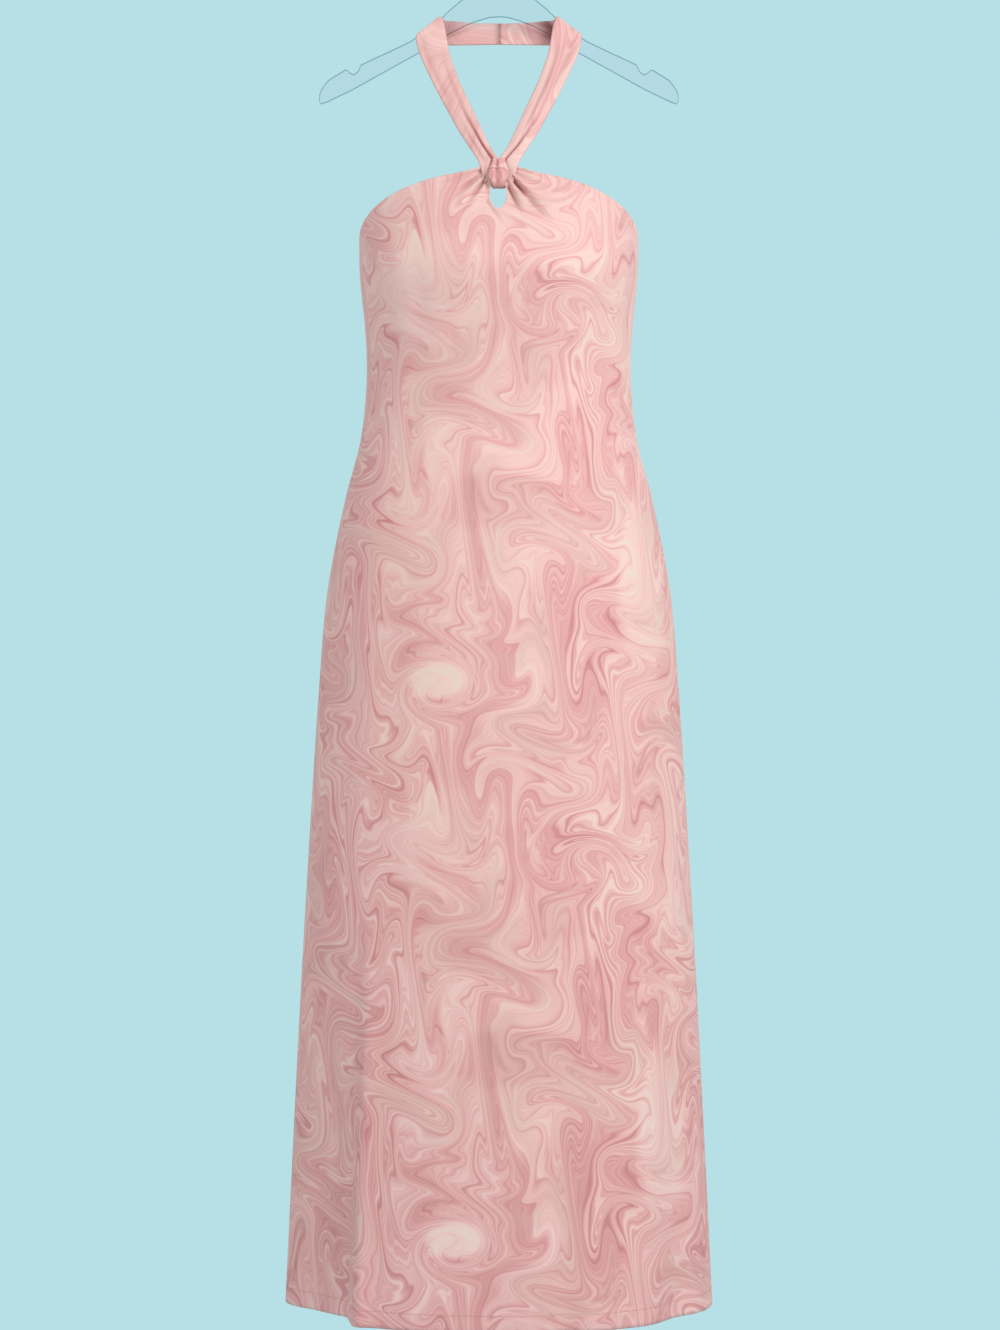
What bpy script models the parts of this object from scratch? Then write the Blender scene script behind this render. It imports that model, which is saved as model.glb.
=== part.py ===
"""Halter dress on a clear hanger, at its real size in metres.

X runs to the right as the front is seen, Y runs away from the front and Z runs up. The origin is the
inner top of the hook, where it rests on a rod, and every drop below is counted down from there.
The front and the back are one open tube of thin cloth. The front's neckline is gathered into a short
band at centre front, over a small keyhole, and two straps run from there over the hanger to a seam
at centre back.
"""

import math
from typing import NamedTuple

import bmesh
import bpy
from mathutils import Vector

# Driving sizes
CLOTH = 0.0015
STRAP_CLOTH = 0.0016
SEAM_GAP = 0.0003
HEM_DROP = 1.4248
SIDE_TOP_DROP = 0.3276
NECK_FALL = 0.0612
NECK_RISE = 0.0060
NECK_RISE_REACH = 0.0160

LOOP_DROP = 0.2698
LOOP_DEPTH = 0.0900
LOOP_LEAN = -14.9
LOOP_HALF_HEIGHT = 0.0156
LOOP_HALF_DEPTH = 0.0070
LOOP_TOP_HALF_WIDTH = 0.0072
LOOP_FACE_HALF_WIDTH = 0.0108
LOOP_BASE_HALF_WIDTH = 0.0060
LOOP_WIDEST_SHARE = 0.34
LOOP_WALL = 0.0022
LOOP_SQUARENESS = 3.5

KEYHOLE_CENTRE_X = -0.0006
KEYHOLE_HALF_WIDTH = 0.0094
KEYHOLE_SQUARENESS = 6.0
KEYHOLE_TOP_DROP = 0.2820
KEYHOLE_BASE_DROP = 0.3098
KEYHOLE_TAPER = 0.42
KEYHOLE_SIDES = 22
KEYHOLE_CUTTER_LENGTH = 0.04

GATHER_CENTRE_DROP = 0.2598
GATHER_RISE_REACH = 0.0130
GATHER_CALM = 0.30

PLATE_THICKNESS = 0.0050
PLATE_EDGE_ROUND = 0.0010
WIRE_RADIUS = 0.0018
HOOK_RADIUS = 0.0200
HOOK_START = -52.0
HOOK_END = 200.0
HOOK_STEPS = 22

TINY = 1e-9


class Section(NamedTuple):
    """The garment's outline seen from above, at one height."""

    name: str
    drop: float
    half_width: float
    front_depth: float
    back_depth: float
    squareness: float


SECTIONS = (
    Section("neckline", 0.2600, 0.1435, 0.0880, 0.0800, 2.25),
    Section("underarm", 0.3276, 0.1448, 0.1060, 0.0850, 2.30),
    Section("bust", 0.3640, 0.1440, 0.1160, 0.0860, 2.30),
    Section("under_bust", 0.4160, 0.1388, 0.1060, 0.0820, 2.20),
    Section("waist", 0.4680, 0.1373, 0.0970, 0.0780, 2.10),
    Section("high_hip", 0.5304, 0.1435, 0.1020, 0.0900, 2.05),
    Section("hip", 0.5928, 0.1596, 0.1130, 0.1060, 2.00),
    Section("seat", 0.6864, 0.1778, 0.1230, 0.1180, 2.00),
    Section("thigh", 0.7800, 0.1862, 0.1270, 0.1200, 2.00),
    Section("knee", 0.9672, 0.1981, 0.1310, 0.1210, 2.00),
    Section("calf", 1.1544, 0.2085, 0.1350, 0.1230, 2.00),
    Section("hem", 1.4248, 0.2218, 0.1400, 0.1270, 2.00),
)


class Gather(NamedTuple):
    """One gather that runs out from the loop: a ridge, or a groove where its height is negative."""

    heading: float
    spread: float
    height: float
    reach: float


# Headings are in degrees from straight down, positive to the right.
GATHERS = (
    Gather(-68.0, 4.5, -0.0022, 0.080),
    Gather(-60.0, 4.0, 0.0022, 0.070),
    Gather(-53.0, 4.0, -0.0042, 0.078),
    Gather(-46.0, 4.0, 0.0030, 0.066),
    Gather(-39.0, 4.0, -0.0038, 0.062),
    Gather(-29.0, 5.0, 0.0026, 0.076),
    Gather(-18.0, 4.5, -0.0018, 0.070),
    Gather(12.0, 5.0, 0.0016, 0.070),
    Gather(24.0, 4.5, -0.0044, 0.066),
    Gather(33.0, 4.5, 0.0030, 0.070),
    Gather(42.0, 4.0, -0.0046, 0.090),
    Gather(50.0, 4.5, 0.0030, 0.072),
    Gather(60.0, 5.0, -0.0026, 0.080),
    Gather(71.0, 5.0, 0.0024, 0.066),
)


class SkirtFold(NamedTuple):
    """One soft fold of the skirt, that deepens from its top down to the hem."""

    panel: str
    angle: float
    spread: float
    height: float
    top_drop: float


# Angles are in degrees round the panel from its centre line, positive to the right.
SKIRT_FOLDS = (
    SkirtFold("front", -39.0, 3.4, 0.0055, 1.00),
    SkirtFold("front", 56.0, 9.0, -0.0075, 0.98),
    SkirtFold("front", 38.0, 9.0, 0.0040, 1.02),
    SkirtFold("front", 8.0, 12.0, -0.0030, 0.92),
    SkirtFold("back", -52.0, 9.0, -0.0110, 0.94),
    SkirtFold("back", -30.0, 9.0, 0.0080, 0.98),
    SkirtFold("back", 4.0, 10.0, -0.0090, 0.90),
    SkirtFold("back", 34.0, 9.0, 0.0085, 0.96),
    SkirtFold("back", 58.0, 8.0, -0.0100, 1.00),
)

SEAM_CALM_ANGLE = 12.0

# The front's left side falls back behind a soft edge near the hem.
FALL_BACK_ANGLE = -42.0
FALL_BACK_STEP = 4.0
FALL_BACK_SLOPE = 20.0
FALL_BACK_STEP_SHARE = 0.29
FALL_BACK_SLOPE_SHARE = 0.16
FALL_BACK_TOP_DROP = 0.98


class StrapRow(NamedTuple):
    """The two edges of a neck strap at one place along it, on the right side."""

    name: str
    outer_x: float
    outer_drop: float
    outer_y: float
    inner_x: float
    inner_drop: float
    inner_y: float
    crown: float


STRAP_ROWS = (
    StrapRow("seat", 0.0186, 0.2644, -0.0884, 0.0094, 0.2612, -0.0880, 0.0012),
    StrapRow("low", 0.0290, 0.2410, -0.0764, 0.0150, 0.2335, -0.0722, 0.0020),
    StrapRow("middle", 0.0408, 0.2212, -0.0650, 0.0228, 0.2118, -0.0600, 0.0024),
    StrapRow("upper", 0.0526, 0.1986, -0.0520, 0.0335, 0.1880, -0.0462, 0.0024),
    StrapRow("high", 0.0622, 0.1787, -0.0404, 0.0430, 0.1672, -0.0340, 0.0020),
    StrapRow("below_arm", 0.0720, 0.1562, -0.0274, 0.0494, 0.1465, -0.0222, 0.0014),
    StrapRow("near_arm", 0.0805, 0.1333, -0.0140, 0.0538, 0.1260, -0.0108, 0.0006),
    StrapRow("front_of_arm", 0.0848, 0.1175, -0.0048, 0.0580, 0.1010, -0.0042, 0.0),
    StrapRow("front_corner", 0.0856, 0.1103, -0.0029, 0.0602, 0.0909, -0.0029, 0.0),
    StrapRow("over_arm", 0.0857, 0.1101, 0.0000, 0.0603, 0.0907, 0.0000, 0.0),
    StrapRow("back_corner", 0.0855, 0.1104, 0.0029, 0.0601, 0.0911, 0.0029, 0.0),
    StrapRow("behind_arm", 0.0820, 0.1172, 0.0050, 0.0566, 0.0952, 0.0046, 0.0),
    StrapRow("turn", 0.0650, 0.1182, 0.0080, 0.0480, 0.0956, 0.0072, 0.0006),
    StrapRow("band", 0.0330, 0.1172, 0.0112, 0.0290, 0.0964, 0.0106, 0.0004),
    StrapRow("centre_back", 0.00015, 0.1164, 0.0126, 0.00015, 0.0960, 0.0122, 0.0),
)
STRAP_SHORT_ROWS = ("front_corner", "over_arm", "back_corner")
STRAP_SHORT_STEPS = 2
STRAP_STEPS = 4
STRAP_COLUMNS = 4


class BandColumn(NamedTuple):
    """How far the loop's face stands out at one place across it."""

    across: float
    bulge: float


# The loop's cloth lies in two rolls, with a valley left of the centre.
LOOP_COLUMNS = (
    BandColumn(-1.00, -0.0006),
    BandColumn(-0.72, 0.0006),
    BandColumn(-0.45, 0.0003),
    BandColumn(-0.22, -0.0008),
    BandColumn(0.06, 0.0003),
    BandColumn(0.38, 0.0008),
    BandColumn(0.72, 0.0005),
    BandColumn(1.00, -0.0006),
)
LOOP_STEPS = 28


class PlatePoint(NamedTuple):
    """One point of the hanger's outline, on its right half."""

    x: float
    drop: float


PLATE_OUTLINE = (
    PlatePoint(0.0000, 0.0905),
    PlatePoint(0.0095, 0.0912),
    PlatePoint(0.0215, 0.0946),
    PlatePoint(0.0340, 0.0992),
    PlatePoint(0.0550, 0.1100),
    PlatePoint(0.0820, 0.1274),
    PlatePoint(0.1524, 0.1665),
    PlatePoint(0.1785, 0.1790),
    PlatePoint(0.1846, 0.1812),
    PlatePoint(0.1868, 0.1784),
    PlatePoint(0.1866, 0.1716),
    PlatePoint(0.1844, 0.1660),
    PlatePoint(0.1816, 0.1619),
    PlatePoint(0.1774, 0.1565),
    PlatePoint(0.1692, 0.1513),
    PlatePoint(0.1595, 0.1454),
    PlatePoint(0.1573, 0.1462),
    PlatePoint(0.1547, 0.1489),
    PlatePoint(0.1506, 0.1504),
    PlatePoint(0.1464, 0.1471),
    PlatePoint(0.1432, 0.1403),
    PlatePoint(0.1290, 0.1335),
    PlatePoint(0.1105, 0.1250),
    PlatePoint(0.0920, 0.1160),
    PlatePoint(0.0750, 0.1048),
    PlatePoint(0.0585, 0.0908),
    PlatePoint(0.0508, 0.0832),
    PlatePoint(0.0383, 0.0728),
    PlatePoint(0.0280, 0.0660),
    PlatePoint(0.0155, 0.0624),
)

# The wire of the hook from the hanger up to where its round part starts.
SHANK = ((0.0, 0.0618), (0.0, 0.0540), (0.0008, 0.0480), (0.0050, 0.0415))

# Grids: angles round each panel in degrees, and distances down from its top edge.
FRONT_FINE_STEP = 2.0
FRONT_FINE_REACH = 16.0
FRONT_LEFT_ANGLES = (20.0, 25.0, 30.0, 35.0, 38.0, 40.5, 42.5, 44.5, 47.0, 53.0, 60.0, 67.0, 74.0,
                     81.0, 86.0, 89.0, 90.0)
FRONT_RIGHT_ANGLES = (20.0, 25.0, 30.0, 36.0, 42.0, 48.0, 54.0, 60.0, 67.0, 74.0, 81.0, 86.0, 89.0, 90.0)
FRONT_TOP_ROWS = (0.0, 0.004, 0.009, 0.014, 0.019, 0.024, 0.030, 0.036, 0.043, 0.051, 0.061, 0.074)
FRONT_LOWER_ROWS = 20
BACK_ANGLES = (9.0, 18.0, 27.0, 36.0, 45.0, 54.0, 63.0, 72.0, 80.0, 86.0, 89.0, 90.0)
BACK_ROWS = 20


def smooth_value(knots, values, at):
    """Reads a smooth curve through values, which may be numbers or vectors, at a place along it."""
    last = len(knots) - 1
    at = min(max(at, knots[0]), knots[last])
    index = 0
    while index < last - 1 and at > knots[index + 1]:
        index += 1

    def slope(place):
        low = max(place - 1, 0)
        high = min(place + 1, last)
        return (values[high] - values[low]) * (1.0 / (knots[high] - knots[low]))

    span = knots[index + 1] - knots[index]
    t = (at - knots[index]) / span
    start = values[index] * (2 * t**3 - 3 * t**2 + 1)
    end = values[index + 1] * (3 * t**2 - 2 * t**3)
    leave = slope(index) * (span * (t**3 - 2 * t**2 + t))
    arrive = slope(index + 1) * (span * (t**3 - t**2))
    return start + end + leave + arrive


def smooth_step(value):
    """Rises from 0 to 1 as value does, with soft ends."""
    value = min(max(value, 0.0), 1.0)
    return value * value * (3.0 - 2.0 * value)


def bell(distance, spread):
    """A soft bump of height 1 that fades over spread."""
    return math.exp(-((distance / spread) ** 2))


def section_value(column, drop):
    """One column of the section table at any height."""
    knots = [row.drop for row in SECTIONS]
    values = [getattr(row, column) for row in SECTIONS]
    return smooth_value(knots, values, drop)


def neckline_drop(angle):
    """The front's top edge: highest beside the loop and falling to the underarms."""
    across = math.sin(angle) * SECTIONS[0].half_width
    rise = NECK_RISE * bell(across, NECK_RISE_REACH)
    return SIDE_TOP_DROP - NECK_FALL * math.cos(angle) - rise


def gather_height(x, drop):
    """How far the gathers lift the cloth, or sink it, near the loop."""
    down = drop - GATHER_CENTRE_DROP
    distance = math.hypot(x, down)
    heading = math.degrees(math.atan2(x, max(down, TINY)))
    height = 0.0
    for gather in GATHERS:
        fade = smooth_step(1.0 - distance / gather.reach)
        height += gather.height * bell(heading - gather.heading, gather.spread) * fade
    grow = smooth_step(distance / GATHER_RISE_REACH)
    inside_loop = smooth_step((abs(x) - LOOP_FACE_HALF_WIDTH) / GATHER_RISE_REACH)
    return height * grow * (GATHER_CALM + (1.0 - GATHER_CALM) * inside_loop)


def skirt_height(panel, angle, drop):
    """How far the soft folds of the skirt lift the cloth at one place."""
    degrees = math.degrees(angle)
    height = 0.0
    for fold in SKIRT_FOLDS:
        if fold.panel == panel:
            grow = smooth_step((drop - fold.top_drop) / (HEM_DROP - fold.top_drop))
            height += fold.height * bell(degrees - fold.angle, fold.spread) * grow
    return height * smooth_step((90.0 - abs(degrees)) / SEAM_CALM_ANGLE)


def fall_back_share(angle, drop):
    """The share of the depth that the front's left side loses behind its soft edge."""
    degrees = math.degrees(angle)
    past = FALL_BACK_ANGLE - degrees
    step = smooth_step(0.5 + past / FALL_BACK_STEP)
    slope = smooth_step(past / FALL_BACK_SLOPE)
    grow = smooth_step((drop - FALL_BACK_TOP_DROP) / (HEM_DROP - FALL_BACK_TOP_DROP))
    return (FALL_BACK_STEP_SHARE * step + FALL_BACK_SLOPE_SHARE * slope) * grow


def front_point(angle, drop):
    """The outer face of the front at an angle from its centre line and a drop."""
    half_width = section_value("half_width", drop)
    depth = section_value("front_depth", drop)
    power = section_value("squareness", drop)
    across = math.sin(angle)
    forward = max(1.0 - abs(across) ** power, 0.0) ** (1.0 / power)
    forward *= 1.0 - fall_back_share(angle, drop)
    outward = Vector((across / half_width, -forward / depth, 0.0)).normalized()
    flat = Vector((across * half_width, -forward * depth - SEAM_GAP / 2, -drop))
    height = gather_height(flat.x, drop) + skirt_height("front", angle, drop)
    return flat + outward * height


def back_point(angle, drop):
    """The outer face of the back at an angle from its centre line and a drop."""
    half_width = section_value("half_width", drop)
    depth = section_value("back_depth", drop)
    across = math.sin(angle)
    backward = math.cos(angle)
    outward = Vector((across / half_width, backward / depth, 0.0)).normalized()
    flat = Vector((across * half_width, backward * depth + SEAM_GAP / 2, -drop))
    return flat + outward * skirt_height("back", angle, drop)


def remove_all_objects():
    """Starts from an empty scene."""
    for thing in list(bpy.data.objects):
        bpy.data.objects.remove(thing, do_unlink=True)


def make_collection(name):
    """A new collection under the scene's own."""
    group = bpy.data.collections.new(name)
    bpy.context.scene.collection.children.link(group)
    return group


def make_material(name, colour, roughness, metallic=0.0, alpha=1.0):
    """A Principled BSDF material with its main values."""
    material = bpy.data.materials.new(name)
    material.use_nodes = True
    shader = material.node_tree.nodes["Principled BSDF"]
    shader.inputs["Base Color"].default_value = (*colour, 1.0)
    shader.inputs["Roughness"].default_value = roughness
    shader.inputs["Metallic"].default_value = metallic
    shader.inputs["Alpha"].default_value = alpha
    material.diffuse_color = (*colour, alpha)
    return material


def add_object(name, data, group, material):
    """Links a new object, with its material, into a collection."""
    thing = bpy.data.objects.new(name, data)
    if material is not None:
        data.materials.append(material)
    group.objects.link(thing)
    return thing


def grid_mesh(name, grid, closed_rows=False, flip=False):
    """A surface through rows of points. The last row may join the first."""
    surface = bmesh.new()
    verts = [[surface.verts.new(point) for point in row] for row in grid]
    count = len(verts) if closed_rows else len(verts) - 1
    for index in range(count):
        upper = verts[index]
        lower = verts[(index + 1) % len(verts)]
        for column in range(len(upper) - 1):
            corners = [upper[column], lower[column], lower[column + 1], upper[column + 1]]
            surface.faces.new(reversed(corners) if flip else corners)
    mesh = bpy.data.meshes.new(name)
    surface.to_mesh(mesh)
    surface.free()
    mesh.shade_smooth()
    return mesh


def add_wall(thing, thickness, offset):
    """Gives an open surface its cloth thickness."""
    wall = thing.modifiers.new("cloth_wall", "SOLIDIFY")
    wall.thickness = thickness
    wall.offset = offset
    wall.use_even_offset = True


def front_angles():
    """The front's columns: close together round the gathers, wider to the sides."""
    fine_count = round(FRONT_FINE_REACH / FRONT_FINE_STEP)
    fine = [FRONT_FINE_STEP * index for index in range(-fine_count, fine_count + 1)]
    left = [-angle for angle in reversed(FRONT_LEFT_ANGLES)]
    return [math.radians(angle) for angle in (*left, *fine, *FRONT_RIGHT_ANGLES)]


def front_shares():
    """The front's rows as shares of its length: close together under the neckline."""
    length = HEM_DROP - (SIDE_TOP_DROP - NECK_FALL)
    top = [distance / length for distance in FRONT_TOP_ROWS]
    rest = 1.0 - top[-1]
    lower = [top[-1] + rest * (index + 1) / FRONT_LOWER_ROWS for index in range(FRONT_LOWER_ROWS)]
    return top + lower


def build_front(group, cutters, material):
    """The front in one piece, gathered at the neckline, with its keyhole cut through."""
    grid = []
    for share in front_shares():
        row = []
        for angle in front_angles():
            top = neckline_drop(angle)
            row.append(front_point(angle, top + (HEM_DROP - top) * share))
        grid.append(row)
    front = add_object("front_panel", grid_mesh("front_panel", grid), group, material)
    add_wall(front, CLOTH, -1.0)
    cut = front.modifiers.new("keyhole", "BOOLEAN")
    cut.operation = "DIFFERENCE"
    cut.solver = "EXACT"
    cut.object = build_keyhole_cutter(cutters)
    return front


def build_keyhole_cutter(cutters):
    """A rod across the front's cloth, broad at its top and narrowing to its lower end."""
    half_height = (KEYHOLE_BASE_DROP - KEYHOLE_TOP_DROP) / 2
    power = KEYHOLE_SQUARENESS
    rod = bmesh.new()
    bmesh.ops.create_cone(rod, cap_ends=True, segments=KEYHOLE_SIDES, radius1=1.0, radius2=1.0, depth=1.0)
    for vert in rod.verts:
        across, down, along = vert.co.x, -vert.co.y, vert.co.z
        if down > 0.0:
            across *= 1.0 - KEYHOLE_TAPER * smooth_step(down)
        else:
            size = (abs(across) ** power + abs(down) ** power) ** (-1.0 / power)
            across *= size
            down *= size
        vert.co = Vector((across * KEYHOLE_HALF_WIDTH, along * KEYHOLE_CUTTER_LENGTH, -down * half_height))
    bmesh.ops.recalc_face_normals(rod, faces=rod.faces)
    mesh = bpy.data.meshes.new("keyhole_cutter")
    rod.to_mesh(mesh)
    rod.free()
    cutter = add_object("keyhole_cutter", mesh, cutters, None)
    middle_drop = (KEYHOLE_TOP_DROP + KEYHOLE_BASE_DROP) / 2
    cutter.location = (KEYHOLE_CENTRE_X, -section_value("front_depth", middle_drop), -middle_drop)
    cutter.hide_render = True
    cutter.display_type = "WIRE"
    return cutter


def build_back(group, material):
    """The back in one piece, with its straight top edge."""
    angles = [-angle for angle in reversed(BACK_ANGLES)] + [0.0, *BACK_ANGLES]
    grid = []
    for row_index in range(BACK_ROWS + 1):
        drop = SIDE_TOP_DROP + (HEM_DROP - SIDE_TOP_DROP) * row_index / BACK_ROWS
        grid.append([back_point(math.radians(angle), drop) for angle in angles])
    back = add_object("back_panel", grid_mesh("back_panel", grid, flip=True), group, material)
    add_wall(back, CLOTH, -1.0)
    return back


def loop_half_width(share):
    """The loop's half width at a share of its height: widest below the middle of its face."""
    if share < LOOP_WIDEST_SHARE:
        grow = smooth_step(share / LOOP_WIDEST_SHARE)
        return LOOP_BASE_HALF_WIDTH + (LOOP_FACE_HALF_WIDTH - LOOP_BASE_HALF_WIDTH) * grow
    grow = smooth_step((1.0 - share) / (1.0 - LOOP_WIDEST_SHARE))
    return LOOP_TOP_HALF_WIDTH + (LOOP_FACE_HALF_WIDTH - LOOP_TOP_HALF_WIDTH) * grow


def build_loop(group, material):
    """The band round the gathered bridge: a closed ring, narrower at its top."""
    power = LOOP_SQUARENESS
    grid = []
    for step in range(LOOP_STEPS):
        angle = 2 * math.pi * step / LOOP_STEPS
        up = math.sin(angle)
        forward = math.cos(angle)
        scale = (abs(up) ** power + abs(forward) ** power) ** (-1.0 / power)
        height = up * scale
        share = (height + 1.0) / 2.0
        half_width = loop_half_width(share)
        row = []
        for column in LOOP_COLUMNS:
            bulge = column.bulge * abs(forward * scale)
            row.append(Vector((column.across * half_width,
                               -forward * scale * (LOOP_HALF_DEPTH + bulge),
                               height * LOOP_HALF_HEIGHT)))
        grid.append(row)
    mesh = grid_mesh("centre_loop", grid, closed_rows=True, flip=True)
    loop = add_object("centre_loop", mesh, group, material)
    loop.location = (0.0, -LOOP_DEPTH, -LOOP_DROP)
    loop.rotation_euler = (math.radians(LOOP_LEAN), 0.0, 0.0)
    add_wall(loop, LOOP_WALL, -1.0)
    return loop


def strap_grid(side):
    """Rows of points across a strap, from its seat by the loop to the seam at centre back."""
    outer = [Vector((side * row.outer_x, row.outer_y, -row.outer_drop)) for row in STRAP_ROWS]
    inner = [Vector((side * row.inner_x, row.inner_y, -row.inner_drop)) for row in STRAP_ROWS]
    crowns = [row.crown for row in STRAP_ROWS]
    knots = [0.0]
    for index in range(1, len(STRAP_ROWS)):
        middle_before = (outer[index - 1] + inner[index - 1]) / 2
        middle = (outer[index] + inner[index]) / 2
        knots.append(knots[-1] + (middle - middle_before).length)
    places = []
    for index in range(len(STRAP_ROWS) - 1):
        short = STRAP_ROWS[index].name in STRAP_SHORT_ROWS
        steps = STRAP_SHORT_STEPS if short else STRAP_STEPS
        stretch = knots[index + 1] - knots[index]
        places += [knots[index] + stretch * step / steps for step in range(steps)]
    places.append(knots[-1])
    grid = []
    for place in places:
        start = smooth_value(knots, outer, place)
        end = smooth_value(knots, inner, place)
        crown = smooth_value(knots, crowns, place)
        row = []
        for column in range(STRAP_COLUMNS + 1):
            share = column / STRAP_COLUMNS
            lift = crown * math.sin(math.pi * share)
            row.append(start.lerp(end, share) + Vector((0.0, -lift, 0.0)))
        grid.append(row)
    return grid


def build_strap(name, side, group, material):
    """One neck strap, over the hanger's arm and along the back of the neck."""
    mesh = grid_mesh(name, strap_grid(side), flip=side > 0)
    strap = add_object(name, mesh, group, material)
    add_wall(strap, STRAP_CLOTH, 0.0)
    return strap


def build_plate(group, material):
    """The hanger's clear plate, cut from one flat outline with rounded edges."""
    right = [(point.x, -point.drop) for point in PLATE_OUTLINE]
    left = [(-x, z) for x, z in reversed(right) if x > TINY]
    outline = right + left
    curve = bpy.data.curves.new("hanger_plate", "CURVE")
    curve.dimensions = "2D"
    curve.fill_mode = "BOTH"
    curve.extrude = PLATE_THICKNESS / 2 - PLATE_EDGE_ROUND
    curve.bevel_depth = PLATE_EDGE_ROUND
    curve.bevel_resolution = 1
    curve.offset = -PLATE_EDGE_ROUND
    spline = curve.splines.new("POLY")
    spline.points.add(len(outline) - 1)
    for point, (x, z) in zip(spline.points, outline):
        point.co = (x, z, 0.0, 1.0)
    spline.use_cyclic_u = True
    plate = add_object("hanger_plate", curve, group, material)
    plate.rotation_euler = (math.pi / 2, 0.0, 0.0)
    return plate


def build_hook(group, material):
    """The wire hook: a short shank and a round hook that opens to the left."""
    centre_drop = HOOK_RADIUS - WIRE_RADIUS
    knots = [(x, -drop) for x, drop in SHANK]
    for step in range(HOOK_STEPS + 1):
        angle = math.radians(HOOK_START + (HOOK_END - HOOK_START) * step / HOOK_STEPS)
        knots.append((HOOK_RADIUS * math.cos(angle), HOOK_RADIUS * math.sin(angle) - centre_drop))
    curve = bpy.data.curves.new("hanger_hook", "CURVE")
    curve.dimensions = "3D"
    curve.bevel_depth = WIRE_RADIUS
    curve.bevel_resolution = 2
    curve.use_fill_caps = True
    spline = curve.splines.new("POLY")
    spline.points.add(len(knots) - 1)
    for point, (x, z) in zip(spline.points, knots):
        point.co = (x, 0.0, z, 1.0)
    return add_object("hanger_hook", curve, group, material)


def main():
    """Builds the dress, then the hanger that holds it."""
    remove_all_objects()
    parts = make_collection("halter_dress_on_hanger")
    cutters = make_collection("cutters")
    front_cloth = make_material("front_cloth", (0.79, 0.47, 0.46), 0.78)
    back_cloth = make_material("back_cloth", (0.77, 0.46, 0.45), 0.78)
    loop_cloth = make_material("loop_cloth", (0.76, 0.43, 0.42), 0.78)
    left_cloth = make_material("left_strap_cloth", (0.78, 0.45, 0.43), 0.78)
    right_cloth = make_material("right_strap_cloth", (0.78, 0.45, 0.43), 0.78)
    clear_plastic = make_material("clear_plastic", (0.80, 0.88, 0.90), 0.08, alpha=0.35)
    bright_wire = make_material("bright_wire", (0.72, 0.73, 0.74), 0.18, metallic=1.0)
    build_front(parts, cutters, front_cloth)
    build_back(parts, back_cloth)
    build_loop(parts, loop_cloth)
    build_strap("neck_strap_left", -1, parts, left_cloth)
    build_strap("neck_strap_right", 1, parts, right_cloth)
    build_plate(parts, clear_plastic)
    build_hook(parts, bright_wire)


main()
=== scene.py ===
"""Halter dress on a clear hanger, dressed over its CAD solids.

Metres, in the row frame: X to the right as the front is seen, Y away from the front and Z up, with the
origin at the inner top of the hook. Heights are written as drops below it.
"""

import logging
import math
from dataclasses import dataclass, field
from enum import Enum
from itertools import accumulate
from typing import NamedTuple, Optional, Sequence, TypeVar, Union

import bmesh
import bpy
from bpy.types import Material, Node, NodeSocket, NodeTree, Object
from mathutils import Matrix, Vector


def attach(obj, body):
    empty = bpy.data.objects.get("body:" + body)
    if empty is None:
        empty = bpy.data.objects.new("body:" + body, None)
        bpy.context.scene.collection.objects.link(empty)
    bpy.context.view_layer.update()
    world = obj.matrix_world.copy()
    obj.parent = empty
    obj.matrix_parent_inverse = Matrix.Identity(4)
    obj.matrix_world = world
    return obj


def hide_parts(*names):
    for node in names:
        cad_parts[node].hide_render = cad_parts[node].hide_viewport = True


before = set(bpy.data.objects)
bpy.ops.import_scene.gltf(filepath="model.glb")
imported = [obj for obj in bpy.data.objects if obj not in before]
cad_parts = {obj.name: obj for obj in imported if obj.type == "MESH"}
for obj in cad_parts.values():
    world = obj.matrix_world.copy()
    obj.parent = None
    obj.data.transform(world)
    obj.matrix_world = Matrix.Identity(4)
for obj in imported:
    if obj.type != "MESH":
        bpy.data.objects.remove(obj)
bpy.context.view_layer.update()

LOG = logging.getLogger("halter_dress")
CLOTH_UV = "cloth"
# The mesh attribute that carries painted shade in folds and creases, which the cloth materials darken their
# colour by.
FOLD_SHADE_ATTRIBUTE = "fold_depth"
TINY = 1e-9

Key = Union[int, str]
Pair = tuple[float, float]
Triple = tuple[float, float, float]
Value = Union[float, Sequence[float], NodeSocket]
Reading = TypeVar("Reading", float, Vector)


class Labelled(Enum):
    """An option whose name goes into the names of pieces."""

    @property
    def label(self) -> str:
        """The option's name in small letters."""
        return self.name.lower()


class Side(Labelled):
    """Which side of the dress a mirrored piece is on, as its sign along X."""

    LEFT = -1
    RIGHT = 1


class Panel(Labelled):
    """The two panels of the dress, each as its sign along Y."""

    FRONT = -1
    BACK = 1


def table(kind: type, *rows: Sequence) -> tuple:
    """The rows of a table as records of one kind."""
    return tuple(kind(*row) for row in rows)


class Section(NamedTuple):
    """The garment's outline seen from above, at one height."""

    name: str
    drop: float
    half_width: float
    front_depth: float
    back_depth: float
    squareness: float


SECTIONS = table(
    Section,
    ("neckline", 0.2600, 0.1435, 0.0880, 0.0800, 2.25),
    ("underarm", 0.3276, 0.1448, 0.1060, 0.0850, 2.30),
    ("bust", 0.3640, 0.1440, 0.1160, 0.0860, 2.30),
    ("under_bust", 0.4160, 0.1388, 0.1060, 0.0820, 2.20),
    ("waist", 0.4680, 0.1373, 0.0970, 0.0780, 2.10),
    ("high_hip", 0.5304, 0.1435, 0.1020, 0.0900, 2.05),
    ("hip", 0.5928, 0.1596, 0.1130, 0.1060, 2.00),
    ("seat", 0.6864, 0.1778, 0.1230, 0.1180, 2.00),
    ("thigh", 0.7800, 0.1862, 0.1270, 0.1200, 2.00),
    ("knee", 0.9672, 0.1981, 0.1310, 0.1210, 2.00),
    ("calf", 1.1544, 0.2085, 0.1350, 0.1230, 2.00),
    ("hem", 1.4248, 0.2218, 0.1400, 0.1270, 2.00),
)


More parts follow.
